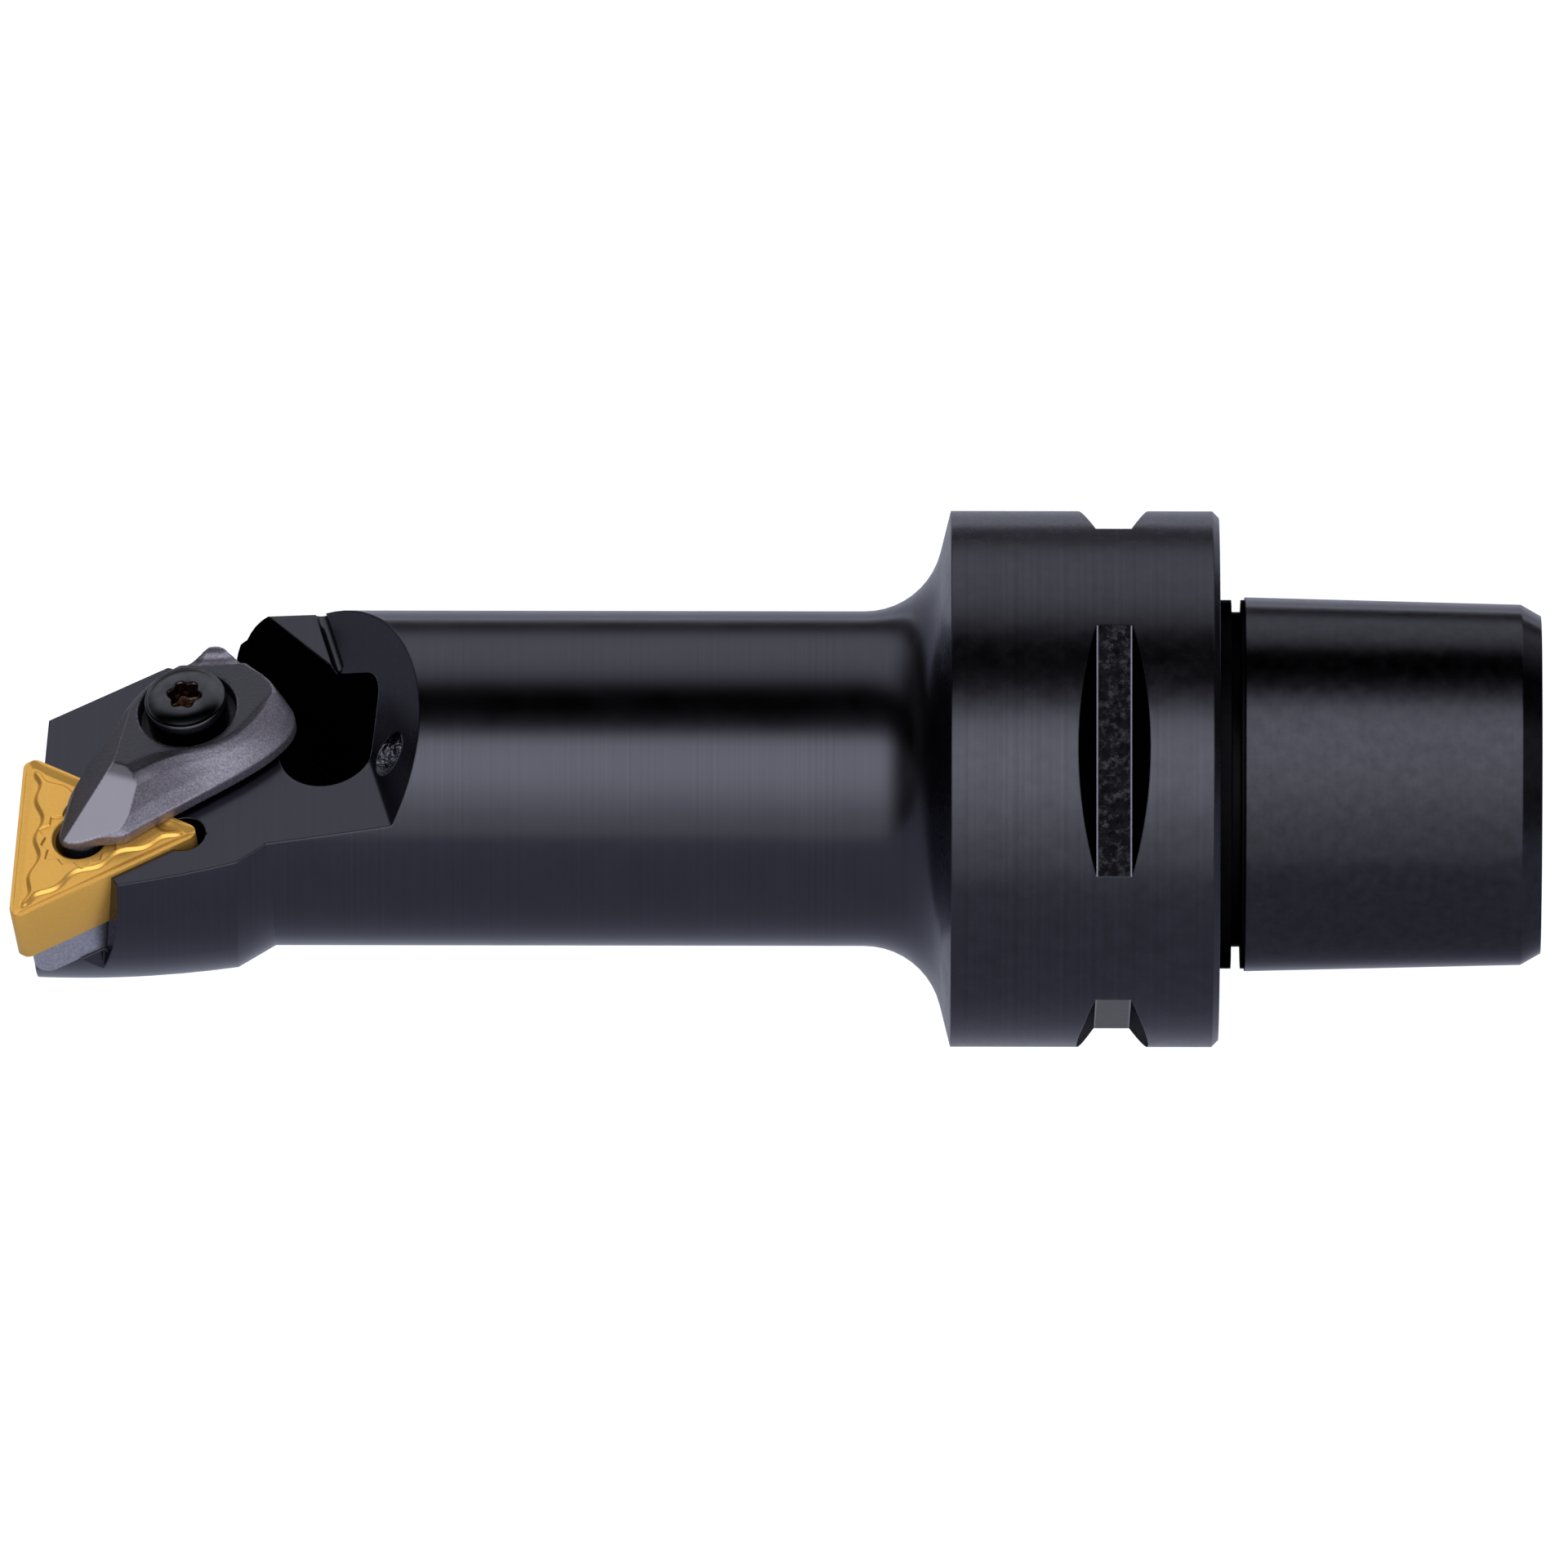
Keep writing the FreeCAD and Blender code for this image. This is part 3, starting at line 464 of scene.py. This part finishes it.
def rounded_triangle(count, corner_r):
    """Outline of the insert round its centre, evenly spaced, with rounded corners, in mm."""
    half_side = INSERT_CIRCLE_R * math.sqrt(3.0)
    straight = 2.0 * (half_side - corner_r * math.sqrt(3.0))
    arc = corner_r * math.radians(120.0)
    total = 3.0 * (straight + arc)
    points = []
    for i in range(count):
        run = total * i / count
        side = int(run // (straight + arc))
        run -= side * (straight + arc)
        turn = Matrix.Rotation(math.radians(120.0) * side, 2)
        if run < straight:
            # the side that ends at the corner on +x after the turn
            point = Vector((-INSERT_CIRCLE_R, straight / 2.0 - run))
        else:
            angle = math.pi + (run - straight) / corner_r
            centre = Vector((-INSERT_CIRCLE_R + corner_r, -straight / 2.0))
            point = centre + corner_r * Vector((math.cos(angle), math.sin(angle)))
        points.append(turn @ point)
    return points


def edge_place(point):
    """Distance of a point from the nearest edge of the sharp triangle, and its place on it."""
    best = None
    for side in range(3):
        angle = math.pi + math.radians(120.0) * side
        out = Vector((math.cos(angle), math.sin(angle)))
        inset = INSERT_CIRCLE_R - point.dot(out)
        along = point.dot(Vector((-out.y, out.x)))
        if best is None or inset < best[0]:
            best = (inset, along)
    return best


def smooth(low, high, value):
    """0 below low, 1 above high and an even slope with soft ends between."""
    share = min(1.0, max(0.0, (value - low) / (high - low)))
    return share * share * (3.0 - 2.0 * share)


def zigzag(turns):
    """Triangle wave from -1 to 1 with a period of one turn."""
    share = turns % 1.0
    return 4.0 * abs(share - 0.5) - 1.0


def chip_breaker(point):
    """Height of the insert's face at a point, in mm below its top plane."""
    inset, along = edge_place(point)
    bow = 0.70 * min(1.0, abs(along) / 6.3) ** 2.5
    fade = 1.0 - smooth(5.2, 6.6, abs(along))
    ridge = 1.58 - bow - 0.25 * fade * math.cos(2.0 * math.pi * along / 3.7)
    # land, then the groove's floor, then the wavy wall up to the plateau
    land = 0.05 * smooth(0.24, 0.30, inset)
    floor = 0.17 * smooth(0.28, 0.85, inset)
    rise = smooth(ridge - 0.20, ridge + 0.24, inset)
    groove = (land + floor) * (1.0 - rise)
    distance = point.length
    turns = math.atan2(point.y, point.x) / (2.0 * math.pi)
    star = 2.85 + 0.26 * zigzag(13.0 * turns) + 0.16 * zigzag(6.0 * turns + 0.3)
    boss = 0.18 * (1.0 - smooth(star - 0.05, star + 0.05, distance))
    lead = 0.30 * (1.0 - smooth(INSERT_HOLE_R, INSERT_HOLE_R + 0.35, distance)) ** 2
    return -(groove + boss + lead)


def closed_rings(name, rings, matrix):
    """Mesh through closed rings of equal count, the last joined to the first."""
    mesh = bpy.data.meshes.new(name)
    count = len(rings[0])
    points = [matrix @ point for ring in rings for point in ring]
    faces = []
    for i in range(len(rings)):
        following = (i + 1) % len(rings)
        for j in range(count):
            k = (j + 1) % count
            near, far = i * count, following * count
            faces.append((near + j, near + k, far + k, far + j))
    mesh.from_pydata(points, [], faces)
    return finished(name, mesh)


def finished(name, mesh, smooth_angle=math.radians(35.0)):
    """Links a mesh as a piece: doubles merged, faces outwards, smooth up to an angle."""
    work = bmesh.new()
    work.from_mesh(mesh)
    bmesh.ops.remove_doubles(work, verts=work.verts, dist=1e-7)
    bmesh.ops.recalc_face_normals(work, faces=work.faces)
    for face in work.faces:
        face.smooth = True
    for edge in work.edges:
        edge.smooth = len(edge.link_faces) == 2 and edge.calc_face_angle(0.0) < smooth_angle
    work.to_mesh(mesh)
    work.free()
    piece = bpy.data.objects.new(name, mesh)
    bpy.context.scene.collection.objects.link(piece)
    return piece


class BORINGBAR_OT_insert(bpy.types.Operator):
    """Make the coated insert with its wavy chip breaker on both faces"""

    bl_idname = "boringbar.insert"
    bl_label = "Make the insert"

    def execute(self, context):
        outline = rounded_triangle(360, INSERT_CORNER_R)
        ring_count = 120
        rings = []
        # from the hole out to the hone, denser near the edge
        for i in range(ring_count):
            share = (i / (ring_count - 1.0)) ** 0.85
            ring = []
            for edge in outline:
                inner = edge.normalized() * INSERT_HOLE_R
                point = inner.lerp(edge * (1.0 - INSERT_HONE / edge.length), share)
                ring.append(Vector((point.x, point.y, chip_breaker(point))))
            rings.append(ring)
        face_rim = rings[-1]
        # the hone's round, as drops below the rim and shares of its width
        for drop, out in ((0.012, 0.65), (0.05, 1.0)):
            ring = []
            for point, edge in zip(face_rim, outline):
                flat = edge * (1.0 - INSERT_HONE * (1.0 - out) / edge.length)
                ring.append(Vector((flat.x, flat.y, point.z - drop)))
            rings.append(ring)
        below = [
            [Vector((p.x, p.y, -INSERT_THICKNESS - p.z)) for p in ring] for ring in reversed(rings)
        ]
        rings += below
        place = seat_matrix() @ Matrix.Translation(INSERT_CENTRE)
        piece = closed_rings("insert_body", rings, place)
        # carbide with a gold-coloured ceramic coating: a warm satin metal, blasted
        coat = plain_metal(
            "coated_carbide", tuple(context.scene.bar_finish.coating), 0.40,
            0.00018, 0.000003, 0.00003, 0.8, 0.05,
        )
        piece.data.materials.append(coat)
        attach(piece, "holder")
        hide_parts("insert")
        return {"FINISHED"}


class BORINGBAR_OT_shim(bpy.types.Operator):
    """Finish the shim and its screw"""

    bl_idname = "boringbar.shim"
    bl_label = "Finish the shim"

    def execute(self, context):
        # bare cemented carbide, ground: even cool grey, satin
        ground = plain_metal(
            "ground_carbide", tuple(context.scene.bar_finish.carbide), 0.42,
            0.00025, 0.000003, 0.0001,
        )
        paint("shim", ground)
        # hardened screw steel, blackened and oiled
        screw = plain_metal("oiled_black_steel", linear("#1C1B1F"), 0.25, 0.0006, 0.000002, 0.0001)
        paint("shim_screw", screw)
        return {"FINISHED"}


def applied(piece):
    """The piece's mesh with its modifiers applied."""
    bpy.context.view_layer.update()
    depsgraph = bpy.context.evaluated_depsgraph_get()
    result = bpy.data.meshes.new_from_object(piece.evaluated_get(depsgraph))
    piece.modifiers.clear()
    piece.data = result
    return result


def crest_side(along):
    """Sideways place of the crest between the nose facet and the far flank, in mm."""
    start_q, start_l, lean = CLAMP_CREST
    return start_l + lean * (along - start_q)


def far_flank(place):
    """Height of the plane that falls from the crest to the clamp's far side, in mm."""
    crest_l = crest_side(place.x)
    if place.y >= crest_l:
        return math.inf
    across = CLAMP_FACET.xy.length
    run = Vector((place.x, crest_l)).dot(CLAMP_FACET.xy) / across - CLAMP_FACET_START
    facet = CLAMP_HEIGHT - run * across / CLAMP_FACET.z
    return max(CLAMP_FLANK_FOOT, facet + CLAMP_FLANK_SLOPE * (place.y - crest_l))


def clamp_colour_with_painted_light(finish):
    """Sintered steel, steam treated: grainy, matt, grey-violet. Its attribute adds painted shade on
    the glossier flat top, a painted highlight on the nose facet and near-black painted shade in
    hollows."""
    material = plain_metal(
        "sintered_steel", tuple(finish.sinter), 0.44, 0.00016, 0.00003, 0.00005, 0.75, 0.35
    )
    tree = material.node_tree
    shader = tree.nodes["Principled BSDF"]
    shade = shader.inputs["Base Color"].links[0].from_socket
    # the attribute holds painted light: green a painted highlight, red painted shade on the top,
    # blue near-black painted shade
    where = add_node(tree, "ShaderNodeAttribute", {"attribute_name": "finish"})
    parts = add_node(tree, "ShaderNodeSeparateColor", {}, {0: where.outputs["Color"]})
    for socket, colour in ((1, "#C4C1D2"), (0, "#3A3A40"), (2, "#0E0E12")):
        level = add_node(
            tree, "ShaderNodeMath", {"operation": "MULTIPLY", 1: 0.92}, {0: parts.outputs[socket]}
        )
        shade = add_node(
            tree, "ShaderNodeMix",
            {"data_type": "RGBA", 7: linear(colour)},
            {0: level.outputs[0], 6: shade},
        ).outputs[2]
    tree.links.new(shade, shader.inputs["Base Color"])
    rough = add_node(
        tree, "ShaderNodeMapRange", {"To Min": 0.44, "To Max": 0.3}, {"Value": parts.outputs[0]}
    )
    metal = add_node(
        tree, "ShaderNodeMapRange", {"To Min": 0.75, "To Max": 1.0}, {"Value": parts.outputs[0]}
    )
    tree.links.new(rough.outputs[0], shader.inputs["Roughness"])
    tree.links.new(metal.outputs[0], shader.inputs["Metallic"])
    return material


class BORINGBAR_OT_clamp(bpy.types.Operator):
    """Make the top clamp, with the soft edges that sintering leaves"""

    bl_idname = "boringbar.clamp"
    bl_label = "Make the clamp"

    def execute(self, context):
        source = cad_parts["clamp"]
        work = bmesh.new()
        work.from_mesh(source.data)
        bmesh.ops.remove_doubles(work, verts=work.verts, dist=1e-6)
        mesh = bpy.data.meshes.new("clamp_lever")
        work.to_mesh(mesh)
        work.free()
        piece = bpy.data.objects.new("clamp_lever", mesh)
        context.scene.collection.objects.link(piece)
        remesh = piece.modifiers.new("remesh", "REMESH")
        remesh.mode = "VOXEL"
        remesh.voxel_size = 0.0001
        result = applied(piece)
        back = screw_matrix()
        to_screw = back.inverted()
        for vertex in result.vertices:
            place = to_screw @ vertex.co
            place.z = min(place.z, far_flank(place))
            vertex.co = back @ place
        soften = piece.modifiers.new("soften", "SMOOTH")
        soften.factor = 0.5
        soften.iterations = 4
        result = applied(piece)
        for face in result.polygons:
            face.use_smooth = True
        # painted light of each place: red for painted shade on the flat top, which is also ground
        # glossier, green for a painted highlight on the nose facet, blue for near-black painted
        # shade down in the screw's counterbore, under the clamp, and in part on the far flank
        finish = result.attributes.new("finish", "FLOAT_COLOR", "POINT")
        turn = back.to_quaternion()
        upward = turn @ Vector((0.0, 0.0, 1.0))
        facet = turn @ CLAMP_FACET
        for vertex in result.vertices:
            place = to_screw @ vertex.co
            # painted shade on the flat top, by how far it faces up
            flat = smooth(0.955, 0.99, vertex.normal.dot(upward)) * smooth(2.15, 2.35, place.z)
            painted_facet_highlight = smooth(0.965, 0.99, vertex.normal.dot(facet)) * (1.0 - flat)
            painted_facet_highlight *= smooth(5.5, 7.0, place.x)
            # near-black painted shade in the counterbore, under the clamp and beyond the crest
            inside = 1.0 - smooth(CLAMP_COUNTERBORE_R, CLAMP_COUNTERBORE_R + 0.12, place.xy.length)
            painted_hollow_shade = inside * (1.0 - smooth(2.3, 2.5, place.z))
            painted_hollow_shade = max(painted_hollow_shade, 1.0 - smooth(-0.25, -0.05, place.z))
            beyond_crest = 1.0 - smooth(-0.12, 0.0, place.y - crest_side(place.x))
            painted_hollow_shade = max(painted_hollow_shade, FAR_FLANK_PAINTED_SHADE * beyond_crest * (1.0 - flat))
            finish.data[vertex.index].color = (flat, painted_facet_highlight, painted_hollow_shade, 1.0)
        result.materials.clear()
        result.materials.append(clamp_colour_with_painted_light(context.scene.bar_finish))
        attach(piece, "top_clamp")
        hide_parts("clamp")
        return {"FINISHED"}


class BORINGBAR_OT_clamp_screw(bpy.types.Operator):
    """Make the clamp's screw: rounded head, six-lobed socket and plain stem"""

    bl_idname = "boringbar.clamp_screw"
    bl_label = "Make the clamp screw"

    def execute(self, context):
        seat_height = 1.3
        head_top = 4.1
        head_r = 3.05
        rim_r = 0.26
        socket_depth = 1.95
        lobe_depth = 0.11
        core_r = 1.66
        end = -12.0
        centre_r = 0.02
        count = 240
        # stations of (height, radius, share of the socket's lobes), from the socket's floor
        stations = [
            (head_top - socket_depth, centre_r, 0.0), (head_top - 1.7, 0.55, 0.3),
            (head_top - 1.62, 1.0, 0.9), (head_top - 1.55, 1.16, 1.0),
            (head_top - 0.14, 1.16, 1.0), (head_top - 0.03, 1.22, 1.0),
            (head_top, 1.29, 0.8), (head_top, 1.5, 0.0),
        ]
        # crowned top, then a small round at the rim
        for i in range(1, 15):
            share = i / 14.0
            stations.append((head_top - 0.30 * share ** 2.2, 1.5 + 1.29 * share, 0.0))
        for i in range(1, 9):
            angle = math.radians(27.0 + 63.0 * i / 8.0)
            height = head_top - 0.53 + rim_r * math.cos(angle)
            stations.append((height, head_r - rim_r + rim_r * math.sin(angle), 0.0))
        stations += [
            (seat_height + 0.12, head_r, 0.0), (seat_height, head_r - 0.12, 0.0),
            (seat_height, core_r, 0.0), (end + 0.4, core_r, 0.0), (end, core_r - 0.4, 0.0),
            (end, centre_r, 0.0),
        ]
        rings = []
        for height, radius, lobes in stations:
            ring = []
            for j in range(count):
                angle = 2.0 * math.pi * j / count
                reach = radius * (1.0 + lobe_depth * lobes * math.cos(6.0 * angle))
                ring.append(Vector((reach * math.cos(angle), reach * math.sin(angle), height)))
            rings.append(ring)
        piece = closed_rings("clamp_screw_turned", rings, screw_matrix())
        # hardened black steel with an oil film: smooth and glossy
        steel = plain_metal("glossy_black_steel", linear("#3E3F44"), 0.2, 0.0008, 0.000001, 0.00002)
        # socket broached after blackening, so bare and tanned by heat
        bare = plain_metal("tanned_bare_steel", linear("#5A443C"), 0.25, 0.0003, 0.00005, 0.00002)
        piece.data.materials.append(steel)
        piece.data.materials.append(bare)
        back = screw_matrix().inverted()
        for face in piece.data.polygons:
            local = back @ face.center
            in_socket = head_top - socket_depth - 0.25 < local.z < head_top - 0.03
            if in_socket and local.xy.length < 1.34:
                face.material_index = 1
        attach(piece, "screw")
        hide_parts("clamp_screw")
        return {"FINISHED"}


def coil_tree():
    """Geometry nodes: a coil of wire or thread with its section, as a plain mesh."""
    tree = bpy.data.node_groups.new("coil", "GeometryNodeTree")
    wanted = (
        ("Radius", "NodeSocketFloat"), ("Length", "NodeSocketFloat"), ("Turns", "NodeSocketFloat"),
        ("Section radius", "NodeSocketFloat"), ("Section corners", "NodeSocketInt"),
        ("Points", "NodeSocketInt"), ("Material", "NodeSocketMaterial"),
    )
    for name, kind in wanted:
        tree.interface.new_socket(name, in_out="INPUT", socket_type=kind)
    tree.interface.new_socket("Geometry", in_out="OUTPUT", socket_type="NodeSocketGeometry")
    given = add_node(tree, "NodeGroupInput").outputs
    spiral = add_node(
        tree, "GeometryNodeCurveSpiral", {},
        {
            "Resolution": given["Points"], "Rotations": given["Turns"], "Height": given["Length"],
            "Start Radius": given["Radius"], "End Radius": given["Radius"],
        },
    )
    section = add_node(
        tree, "GeometryNodeCurvePrimitiveCircle", {"mode": "RADIUS"},
        {"Resolution": given["Section corners"], "Radius": given["Section radius"]},
    )
    sweep = add_node(
        tree, "GeometryNodeCurveToMesh", {"Fill Caps": True},
        {"Curve": spiral.outputs[0], "Profile Curve": section.outputs[0]},
    )
    real = add_node(tree, "GeometryNodeRealizeInstances", {}, {0: sweep.outputs[0]})
    painted = add_node(
        tree, "GeometryNodeSetMaterial", {},
        {"Geometry": real.outputs[0], "Material": given["Material"]},
    )
    output = add_node(tree, "NodeGroupOutput")
    tree.links.new(painted.outputs[0], output.inputs[0])
    return tree


def coil(name, values, matrix, smooth_angle):
    """One coil from the tree, as a plain mesh in place. Sizes are in the matrix's units."""
    tree = bpy.data.node_groups.get("coil") or coil_tree()
    holder = bpy.data.objects.new(name + "_nodes", bpy.data.meshes.new(name + "_empty"))
    bpy.context.scene.collection.objects.link(holder)
    modifier = holder.modifiers.new("coil", "NODES")
    modifier.node_group = tree
    for socket in tree.interface.items_tree:
        if socket.in_out == "INPUT" and socket.name in values:
            modifier[socket.identifier] = values[socket.name]
    bpy.context.view_layer.update()
    depsgraph = bpy.context.evaluated_depsgraph_get()
    mesh = bpy.data.meshes.new_from_object(holder.evaluated_get(depsgraph))
    holder.modifiers.clear()
    bpy.data.objects.remove(holder)
    mesh.name = name
    mesh.transform(matrix)
    return finished(name, mesh, smooth_angle)


class BORINGBAR_OT_coils(bpy.types.Operator):
    """Make the lifting spring and the threads"""

    bl_idname = "boringbar.coils"
    bl_label = "Make spring and threads"

    def execute(self, context):
        # hard-drawn spring wire, oiled
        wire = plain_metal("drawn_spring_wire", linear("#8C8C90"), 0.3, 0.0004, 0.000002, 0.00002)
        black = bpy.data.materials["glossy_black_steel"]
        bore = bpy.data.materials["blackened_steel_ground"]
        spring_low = Matrix.Translation((0.0, 0.0, -5.05))
        piece = coil(
            "lifting_spring",
            {
                "Radius": 2.45, "Length": 4.8, "Turns": 3.0, "Section radius": 0.25,
                "Section corners": 12, "Points": 150, "Material": wire,
            },
            screw_matrix() @ spring_low, math.radians(60.0),
        )
        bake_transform(piece)
        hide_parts("clamp_spring")
        piece = coil(
            "clamp_screw_thread",
            {
                "Radius": 1.70, "Length": 12.0, "Turns": 17.0, "Section radius": 0.28,
                "Section corners": 3, "Points": 700, "Material": black,
            },
            screw_matrix() @ Matrix.Translation((0.0, 0.0, -11.6)), math.radians(30.0),
        )
        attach(piece, "screw")
        along_axis = Matrix.Translation((-12.0 * MM, 0.0, 0.0)) @ Matrix.Rotation(
            math.radians(90.0), 4, "Y"
        ) @ Matrix.Scale(MM, 4)
        piece = coil(
            "draw_thread_turns",
            {
                "Radius": 6.22, "Length": 18.0, "Turns": 12.0, "Section radius": 0.5,
                "Section corners": 3, "Points": 900, "Material": bore,
            },
            along_axis, math.radians(30.0),
        )
        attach(piece, "holder")
        return {"FINISHED"}


class BORINGBAR_OT_jet(bpy.types.Operator):
    """Finish the coolant jet"""

    bl_idname = "boringbar.jet"
    bl_label = "Finish the jet"

    def execute(self, context):
        # turned stainless steel, bare
        bright = plain_metal(
            "turned_stainless_steel", linear("#A0A0A6"), 0.25, 0.0003, 0.000003, 0.00008
        )
        paint("coolant_jet", bright)
        return {"FINISHED"}


# The photograph's view: a long lens from the front and above, aimed at the part's middle
VIEW_ELEVATION = math.radians(38.2)
VIEW_DISTANCE = 3.17
VIEW_CENTRE = Vector((-0.03242, -0.000253, -0.000322))
VIEW_ROLL = math.radians(0.1)
VIEW_LENS = 975.0
FLOOR_HALF = 6.0

# Radiance of the studio by the height angle of its direction, from the floor in front (0)
# over the top (90) to the floor behind (180), as a share of the brightest place: a tall
# softbox in front, a dark gap overhead and a weaker softbox behind
STUDIO_ARC = (
    (0.0, 0.45), (5.0, 0.45), (19.0, 0.62), (33.0, 0.88), (46.0, 1.0), (60.0, 1.0), (65.0, 0.72),
    (71.0, 0.20), (76.0, 0.02), (82.0, 0.0), (101.0, 0.0), (107.0, 0.12), (113.0, 0.30),
    (128.0, 0.48), (145.0, 0.46), (156.0, 0.30), (165.0, 0.06), (172.0, 0.03), (180.0, 0.06),
)


class BORINGBAR_OT_stage(bpy.types.Operator):
    """Set floor, studio light, background and camera"""

    bl_idname = "boringbar.stage"
    bl_label = "Set the stage"

    def execute(self, context):
        scene = context.scene
        studio = scene.bar_studio
        drop = studio.floor_drop
        mesh = bpy.data.meshes.new("floor")
        signs = ((-1, -1), (1, -1), (1, 1), (-1, 1))
        corners = [(x * FLOOR_HALF, y * FLOOR_HALF, -drop) for x, y in signs]
        mesh.from_pydata(corners, [], [(0, 1, 2, 3)])
        floor = bpy.data.objects.new("floor", mesh)
        scene.collection.objects.link(floor)
        # matt white paper, which also shows white where the softboxes miss it
        material, tree, shader = empty_material("white_paper")
        shader.inputs["Base Color"].default_value = linear("#B4B8C6")
        shader.inputs["Roughness"].default_value = 0.9
        path = add_node(tree, "ShaderNodeLightPath")
        shader.inputs["Emission Color"].default_value = (1.0, 1.0, 1.0, 1.0)
        mirrored = add_node(
            tree, "ShaderNodeMath", {"operation": "MAXIMUM"},
            {0: path.outputs["Is Glossy Ray"], 1: path.outputs["Is Transmission Ray"]},
        )
        dim = add_node(
            tree, "ShaderNodeMath", {"operation": "MULTIPLY", 1: 0.12}, {0: mirrored.outputs[0]}
        )
        # less than full white of its own, so that the part's shadow stays
        seen = add_node(
            tree, "ShaderNodeMath",
            {"operation": "MULTIPLY", 1: 0.65},
            {0: path.outputs["Is Camera Ray"]},
        )
        level = add_node(
            tree, "ShaderNodeMath",
            {"operation": "MAXIMUM"},
            {0: seen.outputs[0], 1: dim.outputs[0]},
        )
        tree.links.new(level.outputs[0], shader.inputs["Emission Strength"])
        mesh.materials.append(material)

        world = bpy.data.worlds.new("studio")
        scene.world = world
        world.use_nodes = True
        tree = world.node_tree
        tree.nodes.clear()
        way = add_node(tree, "ShaderNodeTexCoord")
        axes = add_node(tree, "ShaderNodeSeparateXYZ", links={0: way.outputs["Generated"]})
        front = add_node(
            tree, "ShaderNodeMath", {"operation": "MULTIPLY", 1: -1.0}, {0: axes.outputs[1]}
        )
        height = add_node(
            tree, "ShaderNodeMath",
            {"operation": "ARCTAN2"},
            {0: axes.outputs[2], 1: front.outputs[0]},
        )
        share = add_node(
            tree, "ShaderNodeMath",
            {"operation": "MULTIPLY", 1: 1.0 / math.pi},
            {0: height.outputs[0]},
        )
        arc = add_node(tree, "ShaderNodeFloatCurve", {}, {"Value": share.outputs[0]})
        curve = arc.mapping.curves[0]
        curve.points[0].location = (0.0, STUDIO_ARC[0][1])
        curve.points[1].location = (1.0, STUDIO_ARC[-1][1])
        for angle, part in STUDIO_ARC[1:-1]:
            curve.points.new(angle / 180.0, part)
        arc.mapping.update()
        aside = add_node(tree, "ShaderNodeMath", {"operation": "ABSOLUTE"}, {0: axes.outputs[0]})
        # the softboxes end to the left and right of the part
        across = add_node(
            tree, "ShaderNodeMapRange",
            {
                "interpolation_type": "SMOOTHSTEP", "From Min": 0.4, "From Max": 0.85,
                "To Min": studio.light, "To Max": studio.light * 0.08,
            },
            {"Value": aside.outputs[0]},
        )
        lit = add_node(
            tree, "ShaderNodeMath",
            {"operation": "MULTIPLY"},
            {0: arc.outputs[0], 1: across.outputs[0]},
        )
        path = add_node(tree, "ShaderNodeLightPath")
        level = add_node(
            tree, "ShaderNodeMix", {"data_type": "FLOAT", 3: 1.0},
            {0: path.outputs["Is Camera Ray"], 2: lit.outputs[0]},
        )
        background = add_node(tree, "ShaderNodeBackground", {}, {"Strength": level.outputs[0]})
        output = add_node(tree, "ShaderNodeOutputWorld", {}, {0: background.outputs[0]})
        background.inputs["Color"].default_value = (1.0, 1.0, 1.0, 1.0)

        lens = bpy.data.cameras.new("view")
        lens.sensor_width = 36.0
        lens.lens = VIEW_LENS
        lens.clip_start = 0.1
        lens.clip_end = 30.0
        camera = bpy.data.objects.new("view", lens)
        scene.collection.objects.link(camera)
        back = Vector((0.0, -math.cos(VIEW_ELEVATION), math.sin(VIEW_ELEVATION)))
        camera.location = VIEW_CENTRE + back * VIEW_DISTANCE
        camera.rotation_mode = "QUATERNION"
        roll = Euler((0.0, 0.0, VIEW_ROLL)).to_quaternion()
        camera.rotation_quaternion = (-back).to_track_quat("-Z", "Y") @ roll
        scene.camera = camera
        scene.view_settings.view_transform = "Standard"
        return {"FINISHED"}


class BORINGBAR_PT_panel(bpy.types.Panel):
    """Steps and settings of the boring bar"""

    bl_label = "Boring bar"
    bl_idname = "BORINGBAR_PT_panel"
    bl_space_type = "VIEW_3D"
    bl_region_type = "UI"
    bl_category = "Boring bar"

    def draw(self, context):
        for step in STEPS:
            self.layout.operator(step.bl_idname)
        for group in (context.scene.bar_finish, context.scene.bar_studio):
            for name in group.__annotations__:
                self.layout.prop(group, name)


STEPS = (
    BORINGBAR_OT_body,
    BORINGBAR_OT_insert,
    BORINGBAR_OT_shim,
    BORINGBAR_OT_clamp,
    BORINGBAR_OT_clamp_screw,
    BORINGBAR_OT_coils,
    BORINGBAR_OT_jet,
    BORINGBAR_OT_stage,
)
CLASSES = (BarFinish, BarStudio) + STEPS + (BORINGBAR_PT_panel,)


def register():
    for made in CLASSES:
        bpy.utils.register_class(made)
    bpy.types.Scene.bar_finish = bpy.props.PointerProperty(type=BarFinish)
    bpy.types.Scene.bar_studio = bpy.props.PointerProperty(type=BarStudio)


def unregister():
    del bpy.types.Scene.bar_studio
    del bpy.types.Scene.bar_finish
    for made in reversed(CLASSES):
        bpy.utils.unregister_class(made)


def main():
    """Makes everything in order."""
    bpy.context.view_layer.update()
    register()
    bpy.ops.boringbar.body()
    bpy.ops.boringbar.insert()
    bpy.ops.boringbar.shim()
    bpy.ops.boringbar.clamp()
    bpy.ops.boringbar.clamp_screw()
    bpy.ops.boringbar.coils()
    bpy.ops.boringbar.jet()
    bpy.ops.boringbar.stage()


if __name__ == "__main__":
    main()
